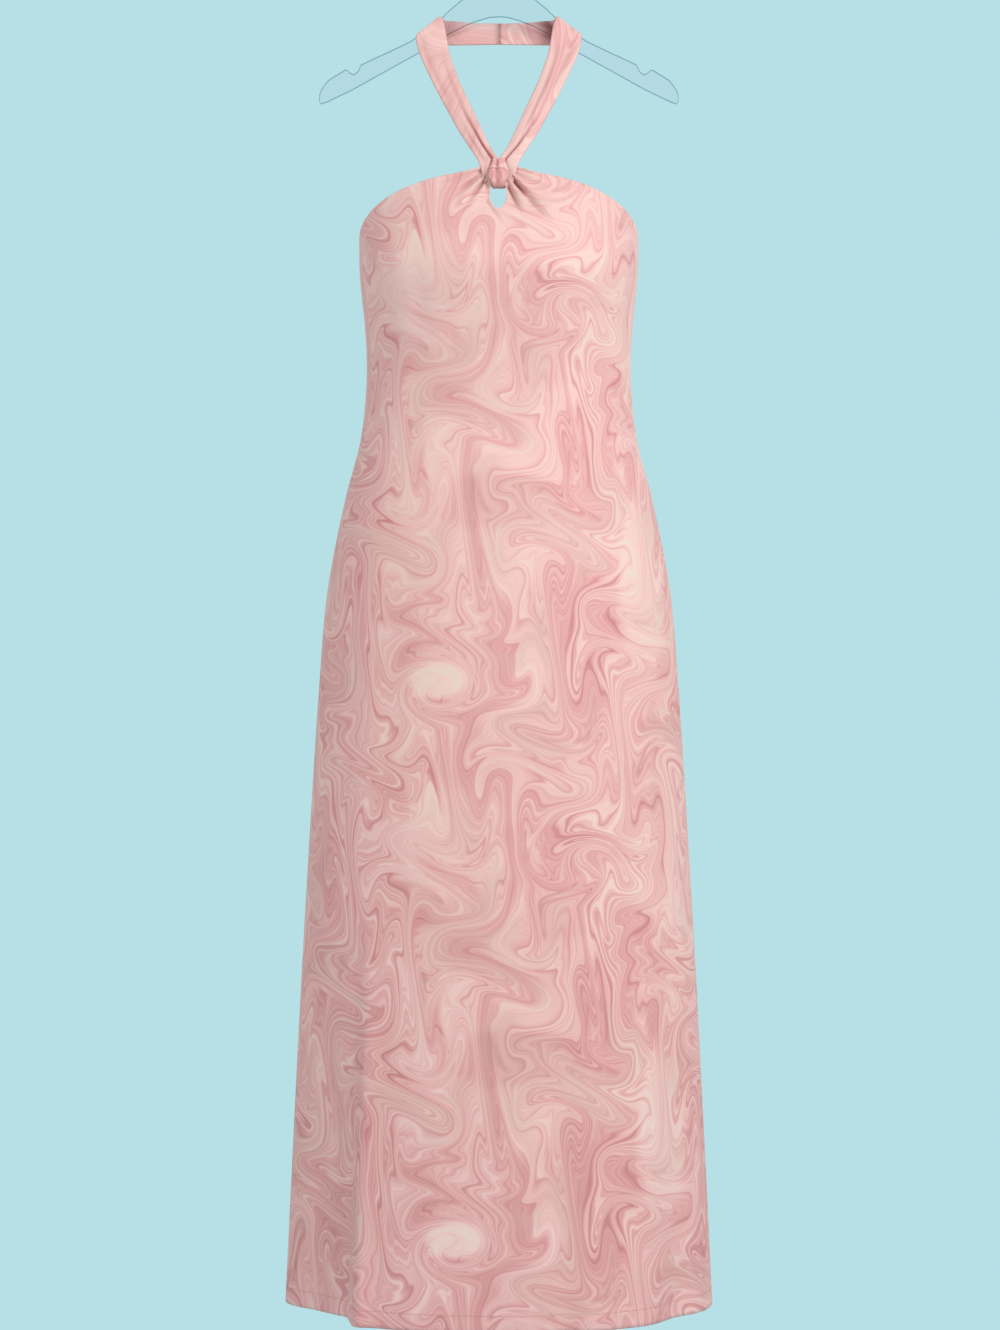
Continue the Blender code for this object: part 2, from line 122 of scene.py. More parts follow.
class Gather(NamedTuple):
    """A gather that runs out from the loop. Headings are degrees from straight down, positive right."""

    heading: float
    spread: float
    height: float
    reach: float


GATHERS = table(
    Gather,
    (-76.0, 3.6, 0.0016, 0.060),
    (-69.0, 3.4, -0.0014, 0.080),
    (-61.5, 3.6, 0.0028, 0.070),
    (-54.5, 3.2, -0.0050, 0.080),
    (-47.0, 3.6, 0.0038, 0.068),
    (-39.5, 3.2, -0.0048, 0.064),
    (-31.0, 4.0, 0.0032, 0.076),
    (-19.0, 4.0, -0.0020, 0.070),
    (11.0, 4.0, 0.0020, 0.070),
    (23.5, 3.6, -0.0052, 0.066),
    (32.0, 3.8, 0.0038, 0.070),
    (41.5, 3.4, -0.0056, 0.092),
    (49.5, 3.6, 0.0036, 0.074),
    (58.0, 3.6, -0.0030, 0.080),
    (65.5, 3.8, 0.0024, 0.066),
    (73.0, 3.6, -0.0022, 0.062),
)


class Crease(NamedTuple):
    """A narrow crease in the front, from one place to another, deepest at its start."""

    start_x: float
    start_drop: float
    end_x: float
    end_drop: float
    width: float
    depth: float


CREASES = table(
    Crease,
    (-0.0185, 0.2690, -0.0520, 0.3000, 0.0026, 0.0034),
    (-0.0130, 0.2760, -0.0360, 0.3050, 0.0023, 0.0036),
    (-0.0165, 0.2650, -0.0700, 0.2830, 0.0030, 0.0018),
    (-0.0122, 0.2740, -0.0112, 0.3010, 0.0016, 0.0030),
    (-0.0112, 0.3010, 0.0060, 0.3260, 0.0022, 0.0022),
    (0.0112, 0.2720, 0.0330, 0.2990, 0.0026, 0.0046),
    (0.0330, 0.2990, 0.0570, 0.3240, 0.0030, 0.0026),
    (0.0100, 0.2850, 0.0230, 0.3120, 0.0022, 0.0046),
    (0.0170, 0.2680, 0.0620, 0.2900, 0.0034, 0.0020),
    (0.0160, 0.2640, 0.0540, 0.2760, 0.0028, 0.0016),
)


class SkirtFold(NamedTuple):
    """A soft fold that deepens from its top to the hem. Angles are degrees from the panel's centre line."""

    angle: float
    spread: float
    height: float
    top_drop: float


SKIRT_FOLDS = {
    Panel.FRONT: table(
        SkirtFold,
        (-39.0, 3.4, 0.0055, 1.00),
        (56.0, 9.0, -0.0075, 0.98),
        (40.0, 8.0, 0.0030, 1.02),
        (26.0, 5.5, 0.0034, 0.98),
        (17.0, 5.0, -0.0052, 0.96),
        (-6.0, 10.0, -0.0022, 0.98),
    ),
    Panel.BACK: table(
        SkirtFold,
        (-52.0, 9.0, -0.0110, 0.94),
        (-30.0, 9.0, 0.0080, 0.98),
        (4.0, 10.0, -0.0090, 0.90),
        (34.0, 9.0, 0.0085, 0.96),
        (58.0, 8.0, -0.0100, 1.00),
    ),
}


class SoftTrough(NamedTuple):
    """A shallow trough or ridge in a panel, set by its middle, its half lengths and its lean."""

    across: float
    drop: float
    half_width: float
    half_length: float
    lean: float
    height: float


SOFT_TROUGHS = {
    Panel.FRONT: table(
        SoftTrough,
        (-0.082, 0.385, 0.010, 0.040, -8.0, -0.0012),
        (-0.100, 0.470, 0.012, 0.075, 4.0, 0.0012),
        (0.060, 0.268, 0.008, 0.030, 68.0, -0.0010),
        (0.104, 0.440, 0.012, 0.060, -6.0, -0.0010),
        (0.030, 0.480, 0.016, 0.090, 10.0, 0.0008),
        (-0.030, 0.660, 0.020, 0.120, -6.0, -0.0010),
        (0.080, 0.720, 0.022, 0.150, 5.0, 0.0012),
        (-0.110, 0.820, 0.018, 0.160, 3.0, -0.0012),
        (0.010, 0.960, 0.024, 0.170, -4.0, 0.0012),
        (0.125, 1.020, 0.020, 0.150, 3.0, -0.0014),
    ),
    Panel.BACK: table(
        SoftTrough,
        (-0.050, 0.380, 0.016, 0.050, 18.0, -0.0012),
        (0.050, 0.380, 0.016, 0.050, -18.0, -0.0012),
        (0.000, 0.480, 0.020, 0.070, 0.0, -0.0010),
        (0.070, 0.780, 0.022, 0.150, 4.0, 0.0014),
        (-0.080, 0.840, 0.022, 0.160, -4.0, -0.0012),
    ),
}


class StrapRow(NamedTuple):
    """The two edges of a neck strap at one place along it, on the right side."""

    name: str
    outer_x: float
    outer_drop: float
    outer_y: float
    inner_x: float
    inner_drop: float
    inner_y: float
    crown: float


STRAP_ROWS = table(
    StrapRow,
    ("tucked_end", 0.0150, 0.2790, -0.0884, 0.0020, 0.2740, -0.0872, 0.0004),
    ("seat", 0.0192, 0.2610, -0.0898, 0.0004, 0.2560, -0.0868, 0.0012),
    ("join", 0.0242, 0.2505, -0.0830, 0.0058, 0.2450, -0.0790, 0.0026),
    ("low", 0.0298, 0.2410, -0.0764, 0.0116, 0.2335, -0.0722, 0.0034),
    ("middle", 0.0414, 0.2212, -0.0650, 0.0206, 0.2118, -0.0600, 0.0036),
    ("upper", 0.0526, 0.1986, -0.0520, 0.0306, 0.1880, -0.0462, 0.0032),
    ("high", 0.0622, 0.1787, -0.0404, 0.0392, 0.1672, -0.0340, 0.0022),
    ("below_arm", 0.0722, 0.1562, -0.0274, 0.0464, 0.1465, -0.0222, 0.0014),
    ("near_arm", 0.0816, 0.1333, -0.0140, 0.0520, 0.1260, -0.0108, 0.0006),
    ("front_of_arm", 0.0858, 0.1175, -0.0048, 0.0566, 0.0990, -0.0042, 0.0),
    ("front_corner", 0.0862, 0.1105, -0.0029, 0.0598, 0.0905, -0.0029, 0.0),
    ("over_arm", 0.0862, 0.1103, 0.0000, 0.0600, 0.0904, 0.0000, 0.0),
    ("back_corner", 0.0860, 0.1106, 0.0029, 0.0596, 0.0908, 0.0029, 0.0),
    ("behind_arm", 0.0820, 0.1172, 0.0050, 0.0560, 0.0930, 0.0046, 0.0),
    ("turn", 0.0650, 0.1182, 0.0080, 0.0480, 0.0930, 0.0072, 0.0006),
    ("band", 0.0330, 0.1172, 0.0112, 0.0290, 0.0940, 0.0106, 0.0004),
    ("centre_back", 0.00015, 0.1164, 0.0126, 0.00015, 0.0944, 0.0122, 0.0),
)


class StrapCrease(NamedTuple):
    """A crease along a strap, between two rows and two shares of its width from the outer edge.

    A negative depth is a crease in the strap's other face, which shows in the band behind the hanger.
    """

    start_row: float
    start_share: float
    end_row: float
    end_share: float
    width: float
    depth: float


STRAP_CREASES = {
    Side.LEFT: table(
        StrapCrease,
        (0.4, 0.76, 4.8, 0.62, 0.065, 0.0040),
        (4.4, 0.62, 8.0, 0.72, 0.100, 0.0013),
        (1.6, 0.26, 4.4, 0.28, 0.110, 0.0012),
        (6.0, 0.22, 9.4, 0.18, 0.120, 0.0010),
        (13.8, 0.10, 15.2, 0.86, 0.110, -0.0012),
    ),
    Side.RIGHT: table(
        StrapCrease,
        (0.4, 0.80, 4.5, 0.38, 0.065, 0.0040),
        (4.2, 0.66, 7.6, 0.74, 0.090, 0.0012),
        (6.6, 0.34, 9.6, 0.26, 0.120, 0.0010),
        (13.6, 0.06, 15.5, 0.94, 0.120, -0.0018),
        (13.4, 0.60, 14.8, 0.96, 0.090, -0.0010),
    ),
}


class BandColumn(NamedTuple):
    """How far the loop's face stands out at one place across it."""

    across: float
    bulge: float


LOOP_COLUMNS = table(
    BandColumn,
    (-1.00, -0.0008),
    (-0.72, 0.0008),
    (-0.48, 0.0005),
    (-0.24, -0.0016),
    (0.04, 0.0003),
    (0.38, 0.0011),
    (0.72, 0.0007),
    (1.00, -0.0008),
)


class Patch(NamedTuple):
    """A broad patch or twist of the print, by its middle and reach on the flat cloth."""

    across: float
    along: float
    reach_across: float
    reach_along: float
    amount: float

    def area(self) -> dict[str, Triple]:
        """Its middle and its reach, as the shader groups take them."""
        return {"Middle": (self.across, self.along, 0.0), "Reach": (self.reach_across, self.reach_along, 1.0)}


# Positive amounts are paler. The print repeats along the cloth, so one repeat is listed.
PRINT_PATCHES = table(
    Patch,
    (-0.086, -0.779, 0.028, 0.018, 0.19),
    (0.138, -0.690, 0.034, 0.085, 0.08),
    (-0.075, -0.385, 0.055, 0.060, 0.04),
    (0.150, -0.400, 0.050, 0.080, 0.05),
    (0.020, -0.395, 0.080, 0.030, -0.03),
    (-0.010, -0.455, 0.110, 0.035, -0.04),
    (0.100, -0.540, 0.060, 0.060, -0.04),
    (-0.020, -0.600, 0.070, 0.030, -0.05),
    (0.060, -0.740, 0.050, 0.090, -0.03),
    (-0.100, -0.560, 0.045, 0.060, 0.03),
    (-0.150, -0.700, 0.050, 0.090, -0.03),
)

# Amounts are turns in radians.
PRINT_TWISTS = table(
    Patch,
    (-0.086, -0.785, 0.062, 0.044, 3.6),
    (0.046, -0.408, 0.075, 0.050, -1.8),
)


class Stroke(NamedTuple):
    """One stroke of the marbling's comb, a shear in waves that neither squeezes nor spreads the colours."""

    wavelength: float
    turns: int
    slope: float
    phase: float


class Lines(NamedTuple):
    """One fineness of the print's lines: how close they are, their share of the tone and their drift."""

    rate: float
    share: float
    drift: float = 0.0


class ToneStop(NamedTuple):
    """A colour of the print and the tone at which it is reached."""

    tone: float
    colour: Triple


class Band(NamedTuple):
    """A stretch of columns or rows: where it ends and how far apart they are."""

    end: float
    spacing: float


PANEL_COLUMNS = {
    Panel.FRONT: table(Band, (12.0, 0.55), (34.0, 0.9), (50.0, 1.5), (86.0, 2.2)),
    Panel.BACK: table(Band, (86.0, 2.0)),
}
TOP_ROWS = table(Band, (0.062, 0.0013), (0.10, 0.0026))


def spaced(bands: Sequence[Band]) -> list[float]:
    """Rising places from 0, spaced as each band says.

    Args:
        bands: the bands, in order.

    Returns:
        The places.
    """
    places = [0.0]
    for band in bands:
        while places[-1] < band.end:
            places.append(places[-1] + band.spacing)
    return places


def smooth_value(knots: Sequence[float], values: Sequence[Reading], at: float) -> Reading:
    """Reads a smooth curve through values, which may be numbers or vectors.

    Args:
        knots: places along the curve, rising.
        values: the value at each knot.
        at: the place to read.

    Returns:
        The value there, of the same type as the values.
    """
    last = len(knots) - 1
    at = min(max(at, knots[0]), knots[last])
    index = 0
    while index < last - 1 and at > knots[index + 1]:
        index += 1
    low = max(index - 1, 0)
    high = min(index + 2, last)
    span = knots[index + 1] - knots[index]
    t = (at - knots[index]) / span
    leave = (values[index + 1] - values[low]) * (span / (knots[index + 1] - knots[low]))
    arrive = (values[high] - values[index]) * (span / (knots[high] - knots[index]))
    start = values[index] * (2 * t**3 - 3 * t**2 + 1) + leave * (t**3 - 2 * t**2 + t)
    return start + values[index + 1] * (3 * t**2 - 2 * t**3) + arrive * (t**3 - t**2)


def smooth_step(value: float) -> float:
    """Rises from 0 to 1 as value does, with soft ends."""
    value = min(max(value, 0.0), 1.0)
    return value * value * (3.0 - 2.0 * value)


def bell(distance: float, spread: float) -> float:
    """A soft bump of height 1 that fades over spread."""
    return math.exp(-((distance / spread) ** 2))


def fold_line(distance: float, width: float) -> float:
    """The section of a crease: 1 at its line, with a sharper foot than a bell."""
    return 1.0 / (1.0 + (distance / width) ** 2) ** 1.5


def linear(*colour: float) -> tuple[float, ...]:
    """A screen colour, from 0 to 255, as the linear one that shaders take."""
    shares = [value / 255.0 for value in colour]
    return (*(s / 12.92 if s <= 0.04045 else ((s + 0.055) / 1.055) ** 2.4 for s in shares), 1.0)


def link(name: str, data: bpy.types.ID) -> Object:
    """Puts a new object with this data into the scene.

    Args:
        name: its name.
        data: its mesh, camera or light.

    Returns:
        The object.
    """
    thing = bpy.data.objects.new(name, data)
    bpy.context.scene.collection.objects.link(thing)
    return thing


def mesh_object(name: str, built: bmesh.types.BMesh) -> Object:
    """Puts a finished bmesh into the scene as an object, and frees it.

    Args:
        name: the object's name.
        built: the bmesh.

    Returns:
        The object.
    """
    data = bpy.data.meshes.new(name)
    built.to_mesh(data)
    built.free()
    return link(name, data)


@dataclass
class Sheet:
    """Cloth through rows of points, each with its place on the flat cloth and the painted shade that darkens
    it in folds.
    """

    points: list[list[Vector]] = field(default_factory=list)
    places: list[list[Pair]] = field(default_factory=list)
    folds: list[list[float]] = field(default_factory=list)

    def add_row(self, points: list[Vector], places: list[Pair], folds: list[float]) -> None:
        """Adds a row. A closed sheet's rows have one more flat place than points.

        Args:
            points: the row's points.
            places: their places on the flat cloth, in metres.
            folds: the painted shade at each, from 0 to 1, which darkens the colour in folds.
        """
        self.points.append(points)
        self.places.append(places)
        self.folds.append(folds)

    def build(self, name: str, flip: bool = False, closed: bool = False) -> Object:
        """Makes the sheet's object, shaded smooth.

        Args:
            name: the object's name.
            flip: turns the faces over.
            closed: joins each row's end to its start.

        Returns:
            The new object.
        """
        count = len(self.points[0])
        faces: list[tuple[int, ...]] = []
        corners: list[Pair] = []
        for upper in range(len(self.points) - 1):
            for column in range(count if closed else count - 1):
                ring = [(upper, column), (upper + 1, column), (upper + 1, column + 1), (upper, column + 1)]
                if flip:
                    ring.reverse()
                faces.append(tuple(row * count + place % count for row, place in ring))
                corners.extend(self.places[row][place] for row, place in ring)
        mesh = bpy.data.meshes.new(name)
        mesh.from_pydata([point for row in self.points for point in row], [], faces)
        layer = mesh.uv_layers.new(name=CLOTH_UV)
        layer.data.foreach_set("uv", [number for place in corners for number in place])
        # Painted shade in the folds goes on each point.
        depth = mesh.attributes.new(FOLD_SHADE_ATTRIBUTE, "FLOAT", "POINT")
        depth.data.foreach_set("value", [value for row in self.folds for value in row])
        mesh.shade_smooth()
        mesh.update()
        return link(name, mesh)


def add_wall(thing: Object, thickness: float) -> None:
    """Builds a surface's cloth inward, with the wrong side as its second material.

    Args:
        thing: the surface.
        thickness: the cloth's thickness.
    """
    wall = thing.modifiers.new("cloth_wall", "SOLIDIFY")
    wall.thickness = thickness
    wall.offset = -1.0
    wall.use_even_offset = False
    wall.material_offset = 1


def hand_over(piece: Object, node: str, slot: str, **cut: object) -> None:
    """Gives a finished sheet its body, hides the CAD node that it replaces and logs its faces.

    Args:
        piece: the sheet's object.
        node: the CAD node that it replaces.
        slot: the record's material slot; not used.
    """
    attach(piece, "root")
    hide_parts(node)
    LOG.info("%s: %d faces", piece.name, len(piece.data.polygons))


class Graph:
    """A node tree with short calls that add and join its nodes."""

    def __init__(self, tree: NodeTree) -> None:
        """Wraps a node tree."""
        self.tree = tree

    def join(self, value: Value, socket: NodeSocket) -> None:
        """Links an output to an input, or sets a plain value on it.

        Args:
            value: an output socket, a number or a vector.
            socket: the input.
        """
        if isinstance(value, NodeSocket):
            self.tree.links.new(value, socket)
        else:
            socket.default_value = value

    def fill(self, node: Node, values: dict[Key, Value]) -> None:
        """Joins each value to the node's input of that name or number."""
        for key, value in values.items():
            self.join(value, node.inputs[key])

    def node(
        self, kind: str, *values: Value, inputs: Optional[dict[Key, Value]] = None, **settings: object
    ) -> Node:
        """Adds a shader node.

        Args:
            kind: its type, after the ShaderNode that all the types start with.
            values: its first inputs in order.
            inputs: other inputs by name or number.
            settings: its own settings by name.

        Returns:
            The new node.
        """
        made = self.tree.nodes.new(f"ShaderNode{kind}")
        for name, value in settings.items():
            setattr(made, name, value)
        self.fill(made, {**dict(enumerate(values)), **(inputs or {})})
        return made

    def math(self, operation: str, *values: Value) -> NodeSocket:
        """A Math node's result."""
        return self.node("Math", *values, operation=operation).outputs[0]

    def vector(self, operation: str, *values: Value, **inputs: Value) -> NodeSocket:
        """A Vector Math node's vector."""
        return self.node("VectorMath", *values, inputs=inputs, operation=operation).outputs["Vector"]

    def measure(self, operation: str, *values: Value) -> NodeSocket:
        """A Vector Math node's number."""
        return self.node("VectorMath", *values, operation=operation).outputs["Value"]

    def parts(self, vector: Value) -> Sequence[NodeSocket]:
        """A vector's three numbers."""
        return self.node("SeparateXYZ", vector).outputs

    def fade(self, value: Value, start: float, end: float, kind: str = "SMOOTHERSTEP") -> NodeSocket:
        """Rises from 0 to 1 as the value goes from start to end."""
        return self.node("MapRange", value, start, end, interpolation_type=kind).outputs[0]

    def noise(self, place: Value, scale: float, detail: float = 0.0, rough: float = 0.5) -> Node:
        """A 3-D noise texture."""
        values = {"Vector": place, "Scale": scale, "Detail": detail, "Roughness": rough}
        return self.node("TexNoise", inputs=values)

    def mix(self, share: Value, start: Value, end: Value) -> NodeSocket:
        """Mixes a share of the end colour into the start colour."""
        return self.node("Mix", inputs={"Factor": share, 6: start, 7: end}, data_type="RGBA").outputs[2]

    def place_group(self, group: NodeTree, **values: Value) -> Sequence[NodeSocket]:
        """Adds a node group with these inputs, and gives its outputs."""
        return self.node("Group", inputs=values, node_tree=group).outputs


def start_group(
    name: str, inputs: dict[str, Optional[float]], outputs: dict[str, str]
) -> tuple[Graph, Sequence[NodeSocket], Sequence[NodeSocket]]:
    """Starts a shader node group.

    Args:
        name: the group's name.
        inputs: its inputs, each with the number that it starts at, or None for a vector.
        outputs: its outputs, each with its kind.

    Returns:
        The group's graph, the sockets that give its inputs, and the sockets that take its outputs.
    """
    tree = bpy.data.node_groups.new(name, "ShaderNodeTree")
    for label, value in inputs.items():
        kind = "NodeSocketVector" if value is None else "NodeSocketFloat"
        socket = tree.interface.new_socket(label, in_out="INPUT", socket_type=kind)
        if value is not None:
            socket.default_value = value
    for label, kind in outputs.items():
        tree.interface.new_socket(label, in_out="OUTPUT", socket_type=f"NodeSocket{kind}")
    return Graph(tree), tree.nodes.new("NodeGroupInput").outputs, tree.nodes.new("NodeGroupOutput").inputs


def start_material(name: str) -> tuple[Material, Graph, Node]:
    """Starts a material.

    Args:
        name: its name.

    Returns:
        The material, its graph and its shader.
    """
    made = bpy.data.materials.new(name)
    made.use_nodes = True
    return made, Graph(made.node_tree), made.node_tree.nodes["Principled BSDF"]


@dataclass
class ClothShaders:
    """The shader groups that every cloth material shares."""

    repeat: float = 0.554
    strokes: tuple[Stroke, ...] = table(
        Stroke,
        (0.155, 2, 1.25, 0.2),
        (0.130, 3, -1.25, 1.0),
        (0.074, 4, 1.10, 3.1),
        (0.096, 4, -1.10, 5.2),
        (0.057, 8, 1.00, 0.4),
        (0.066, 3, -1.00, 2.6),
        (0.044, 7, 0.80, 4.4),
        (0.033, 10, -0.60, 1.7),
    )
    stops: tuple[ToneStop, ...] = table(
        ToneStop,
        (0.30, (205, 137, 139)),
        (0.39, (219, 155, 155)),
        (0.46, (229, 173, 170)),
        (0.52, (235, 187, 183)),
        (0.58, (240, 199, 193)),
        (0.66, (241, 209, 200)),
        (0.80, (235, 216, 203)),
    )
    lines: tuple[Lines, ...] = table(Lines, (38.0, 0.36, 1.6), (175.0, 0.34), (430.0, 0.24))
    broad_shift: float = 11.0
    broad_scale: float = 13.0
    broad_share: float = 0.30
    patch_stir: float = 0.05
    patch_end: float = 1.25
    patch_start: float = 0.70
    beige: Triple = (214, 183, 172)
    beige_share: float = 0.27
    beige_from: float = 0.50
    beige_to: float = 0.66
    thread_pitch: float = 0.0006
    thread_height: float = 0.25
    slub_scale: float = 260.0
    slub_stretch: float = 6.0
    slub_height: float = 0.8
    wrinkle_scale: float = 34.0
    wrinkle_height: float = 9.0
    print_group: NodeTree = field(init=False)
    weave_group: NodeTree = field(init=False)

    def __post_init__(self) -> None:
        """Builds the groups once."""
        self.print_group = self.build_print()
        self.weave_group = self.build_weave()

    def build_wrap(self) -> NodeTree:
        """Rolls the cloth's length round a cylinder, so that the print repeats.

        Returns:
            The group.
        """
        graph, source, result = start_group(
            "print_repeat", {"Place": None, "Shift": 0.0}, {"Place": "Vector"}
        )
        across, along, _ = graph.parts(source["Place"])
        turn = graph.math("MULTIPLY", along, 2 * math.pi / self.repeat)
        radius = self.repeat / (2 * math.pi)
        round_it = [graph.math("MULTIPLY", graph.math(way, turn), radius) for way in ("COSINE", "SINE")]
        rolled = graph.node("CombineXYZ", graph.math("ADD", across, source["Shift"]), *round_it)
        graph.join(rolled.outputs[0], result[0])
        return graph.tree

    @staticmethod
    def build_stir() -> NodeTree:
        """Draws one stroke of the comb through the print.

        Returns:
            The group.
        """
        graph, source, result = start_group(
            "print_stroke", {"Place": None, "Wave": None, "Push": None, "Phase": 0.0}, {"Place": "Vector"}
        )
        along = graph.measure("DOT_PRODUCT", source["Place"], source["Wave"])
        turn = graph.math("SINE", graph.math("ADD", along, source["Phase"]))
        push = graph.vector("SCALE", source["Push"], Scale=turn)
        graph.join(graph.vector("ADD", source["Place"], push), result[0])
        return graph.tree

    def stroke_wave(self, stroke: Stroke) -> tuple[Vector, Vector]:
        """How one stroke of the comb moves the print.

        Args:
            stroke: the stroke.

        Returns:
            Its wave, whole turns of which fit the repeat, and its push across that wave.
        """
        whole = 2 * math.pi / stroke.wavelength
        along = 2 * math.pi * stroke.turns / self.repeat
        across = math.copysign(math.sqrt(whole * whole - along * along), stroke.slope)
        push = Vector((-along, across, 0.0)) * (abs(stroke.slope) / whole**2)
        return Vector((across, along, 0.0)), push

    def share_of_reach(self, graph: Graph, source: Sequence[NodeSocket]) -> NodeSocket:
        """How far a place is from the nearest repeat of a middle.

        Args:
            graph: the group's graph.
            source: the group's inputs.

        Returns:
            The distance each way, as a share of the reach.
        """
        across, along, _ = graph.parts(graph.vector("SUBTRACT", source["Place"], source["Middle"]))
        nearest = graph.math("WRAP", along, self.repeat / 2, -self.repeat / 2)
        return graph.vector("DIVIDE", graph.node("CombineXYZ", across, nearest).outputs[0], source["Reach"])

    def build_patch(self) -> NodeTree:
        """Makes one broad soft patch of the print, in every repeat.

        Returns:
            The group.
        """
        graph, source, result = start_group(
            "print_patch", {"Place": None, "Middle": None, "Reach": None, "Amount": 0.1}, {"Tone": "Float"}
        )
        away = graph.measure("LENGTH", self.share_of_reach(graph, source))
        fade = graph.fade(away, self.patch_end, self.patch_start)
        graph.join(graph.math("MULTIPLY", fade, source["Amount"]), result[0])
        return graph.tree

    def build_twist(self) -> NodeTree:
        """Winds the print's lines round one place, in every repeat.

        Returns:
            The group.
        """
        graph, source, result = start_group(
            "print_twist", {"Place": None, "Middle": None, "Reach": None, "Turn": 1.0}, {"Place": "Vector"}
        )
        share = self.share_of_reach(graph, source)
        angle = graph.math("MULTIPLY", graph.fade(graph.measure("LENGTH", share), 1.0, 0.0), source["Turn"])
        turned = graph.node("VectorRotate", inputs={"Vector": share, "Angle": angle}, rotation_type="Z_AXIS")
        moved = graph.vector("SUBTRACT", turned.outputs[0], share)
        moved = graph.vector("MULTIPLY", moved, source["Reach"])
        graph.join(graph.vector("ADD", source["Place"], moved), result[0])
        return graph.tree

    def build_print(self) -> NodeTree:
        """Makes the marbled print.

        Returns:
            A group that gives its colour at a place on the flat cloth.
        """
        wrap = self.build_wrap()
        stir = self.build_stir()
        patch = self.build_patch()
        twist = self.build_twist()
        graph, source, result = start_group(
            "marbled_print", {"Place": None, "Paler": 0.0}, {"Color": "Color"}
        )
        stirred = source["Place"]
        for row in PRINT_TWISTS:
            stirred = graph.place_group(twist, Place=stirred, Turn=row.amount, **row.area())[0]
        for stroke in self.strokes:
            wave, push = self.stroke_wave(stroke)
            stirred = graph.place_group(stir, Place=stirred, Wave=wave, Push=push, Phase=stroke.phase)[0]
        rolled = graph.place_group(wrap, Place=stirred, Shift=self.broad_shift)[0]
        cloud = graph.noise(rolled, self.broad_scale, 1.0).outputs
        tone = self.line_tone(graph, graph.parts(stirred)[0], cloud[0])
        moved = graph.vector("SUBTRACT", stirred, source["Place"])
        moved = graph.vector("SCALE", moved, Scale=self.patch_stir)
        place = graph.vector("ADD", source["Place"], moved)
        for row in PRINT_PATCHES:
            made = graph.place_group(patch, Place=place, Amount=row.amount, **row.area())
            tone = graph.math("ADD", tone, made[0])
        tone = graph.math("ADD", tone, source["Paler"])
        grey = graph.node("SeparateColor", cloud["Color"]).outputs[1]
        share = graph.math("MULTIPLY", graph.fade(grey, self.beige_from, self.beige_to), self.beige_share)
        graph.join(graph.mix(share, self.tone_colour(graph, tone), linear(*self.beige)), result[0])
        return graph.tree

    def line_tone(self, graph: Graph, across: Value, broad: Value) -> NodeSocket:
        """The tone of the lines that follow the stirred colours, and of the broad clouds under them.

        Args:
            graph: the print's graph.
            across: a number that each stirred line keeps.
            broad: the clouds.

        Returns:
            The tone, about 0.5.
        """
        tone: Value = 0.5 * (1.0 - self.broad_share - sum(row.share for row in self.lines))
        for row in self.lines:
            flow = graph.math("MULTIPLY_ADD", across, row.rate, graph.math("MULTIPLY", broad, row.drift))
            values = {"W": flow, "Scale": 1.0, "Detail": 1.0, "Roughness": 0.5}
            made = graph.node("TexNoise", inputs=values, noise_dimensions="1D")
            tone = graph.math("MULTIPLY_ADD", made.outputs[0], row.share, tone)
        return graph.math("MULTIPLY_ADD", broad, self.broad_share, tone)

    def tone_colour(self, graph: Graph, tone: Value) -> NodeSocket:
        """The print's colour at a tone.

        Args:
            graph: the print's graph.
            tone: the tone.

        Returns:
            The colour.
        """
        ramp = graph.node("ValToRGB", tone)
        elements = ramp.color_ramp.elements
        elements[0].position = self.stops[0].tone
        elements[1].position = self.stops[-1].tone
        for stop in self.stops[1:-1]:
            elements.new(stop.tone)
        for element, stop in zip(elements, self.stops):
            element.color = linear(*stop.colour)
        return ramp.outputs[0]

    def build_weave(self) -> NodeTree:
        """Makes the plain weave, slubs and small wrinkles.

        Returns:
            A group that gives their height, and a mask of the threads.
        """
        graph, source, result = start_group(
            "plain_weave", {"Place": None, "Wrinkle": 1.0}, {"Height": "Float", "Mask": "Float"}
        )
        rate = 2 * math.pi / self.thread_pitch
        across, along = [graph.math("SINE", graph.math("MULTIPLY", way, rate))
                         for way in graph.parts(source["Place"])[:2]]
        threads = graph.math("MULTIPLY", across, along)
        stretched = graph.vector("MULTIPLY", source["Place"], (1.0, self.slub_stretch, 1.0))
        slub = graph.noise(stretched, self.slub_scale, 2.0).outputs[0]
        wrinkle = graph.noise(source["Place"], self.wrinkle_scale, 2.0, 0.45).outputs[0]
        wrinkle = graph.math("MULTIPLY", wrinkle, source["Wrinkle"])
        height = graph.math("MULTIPLY", threads, self.thread_height)
        height = graph.math("MULTIPLY_ADD", slub, self.slub_height, height)
        graph.join(graph.math("MULTIPLY_ADD", wrinkle, self.wrinkle_height, height), result["Height"])
        graph.join(graph.math("MULTIPLY_ADD", threads, 0.5, 0.5), result["Mask"])
        return graph.tree


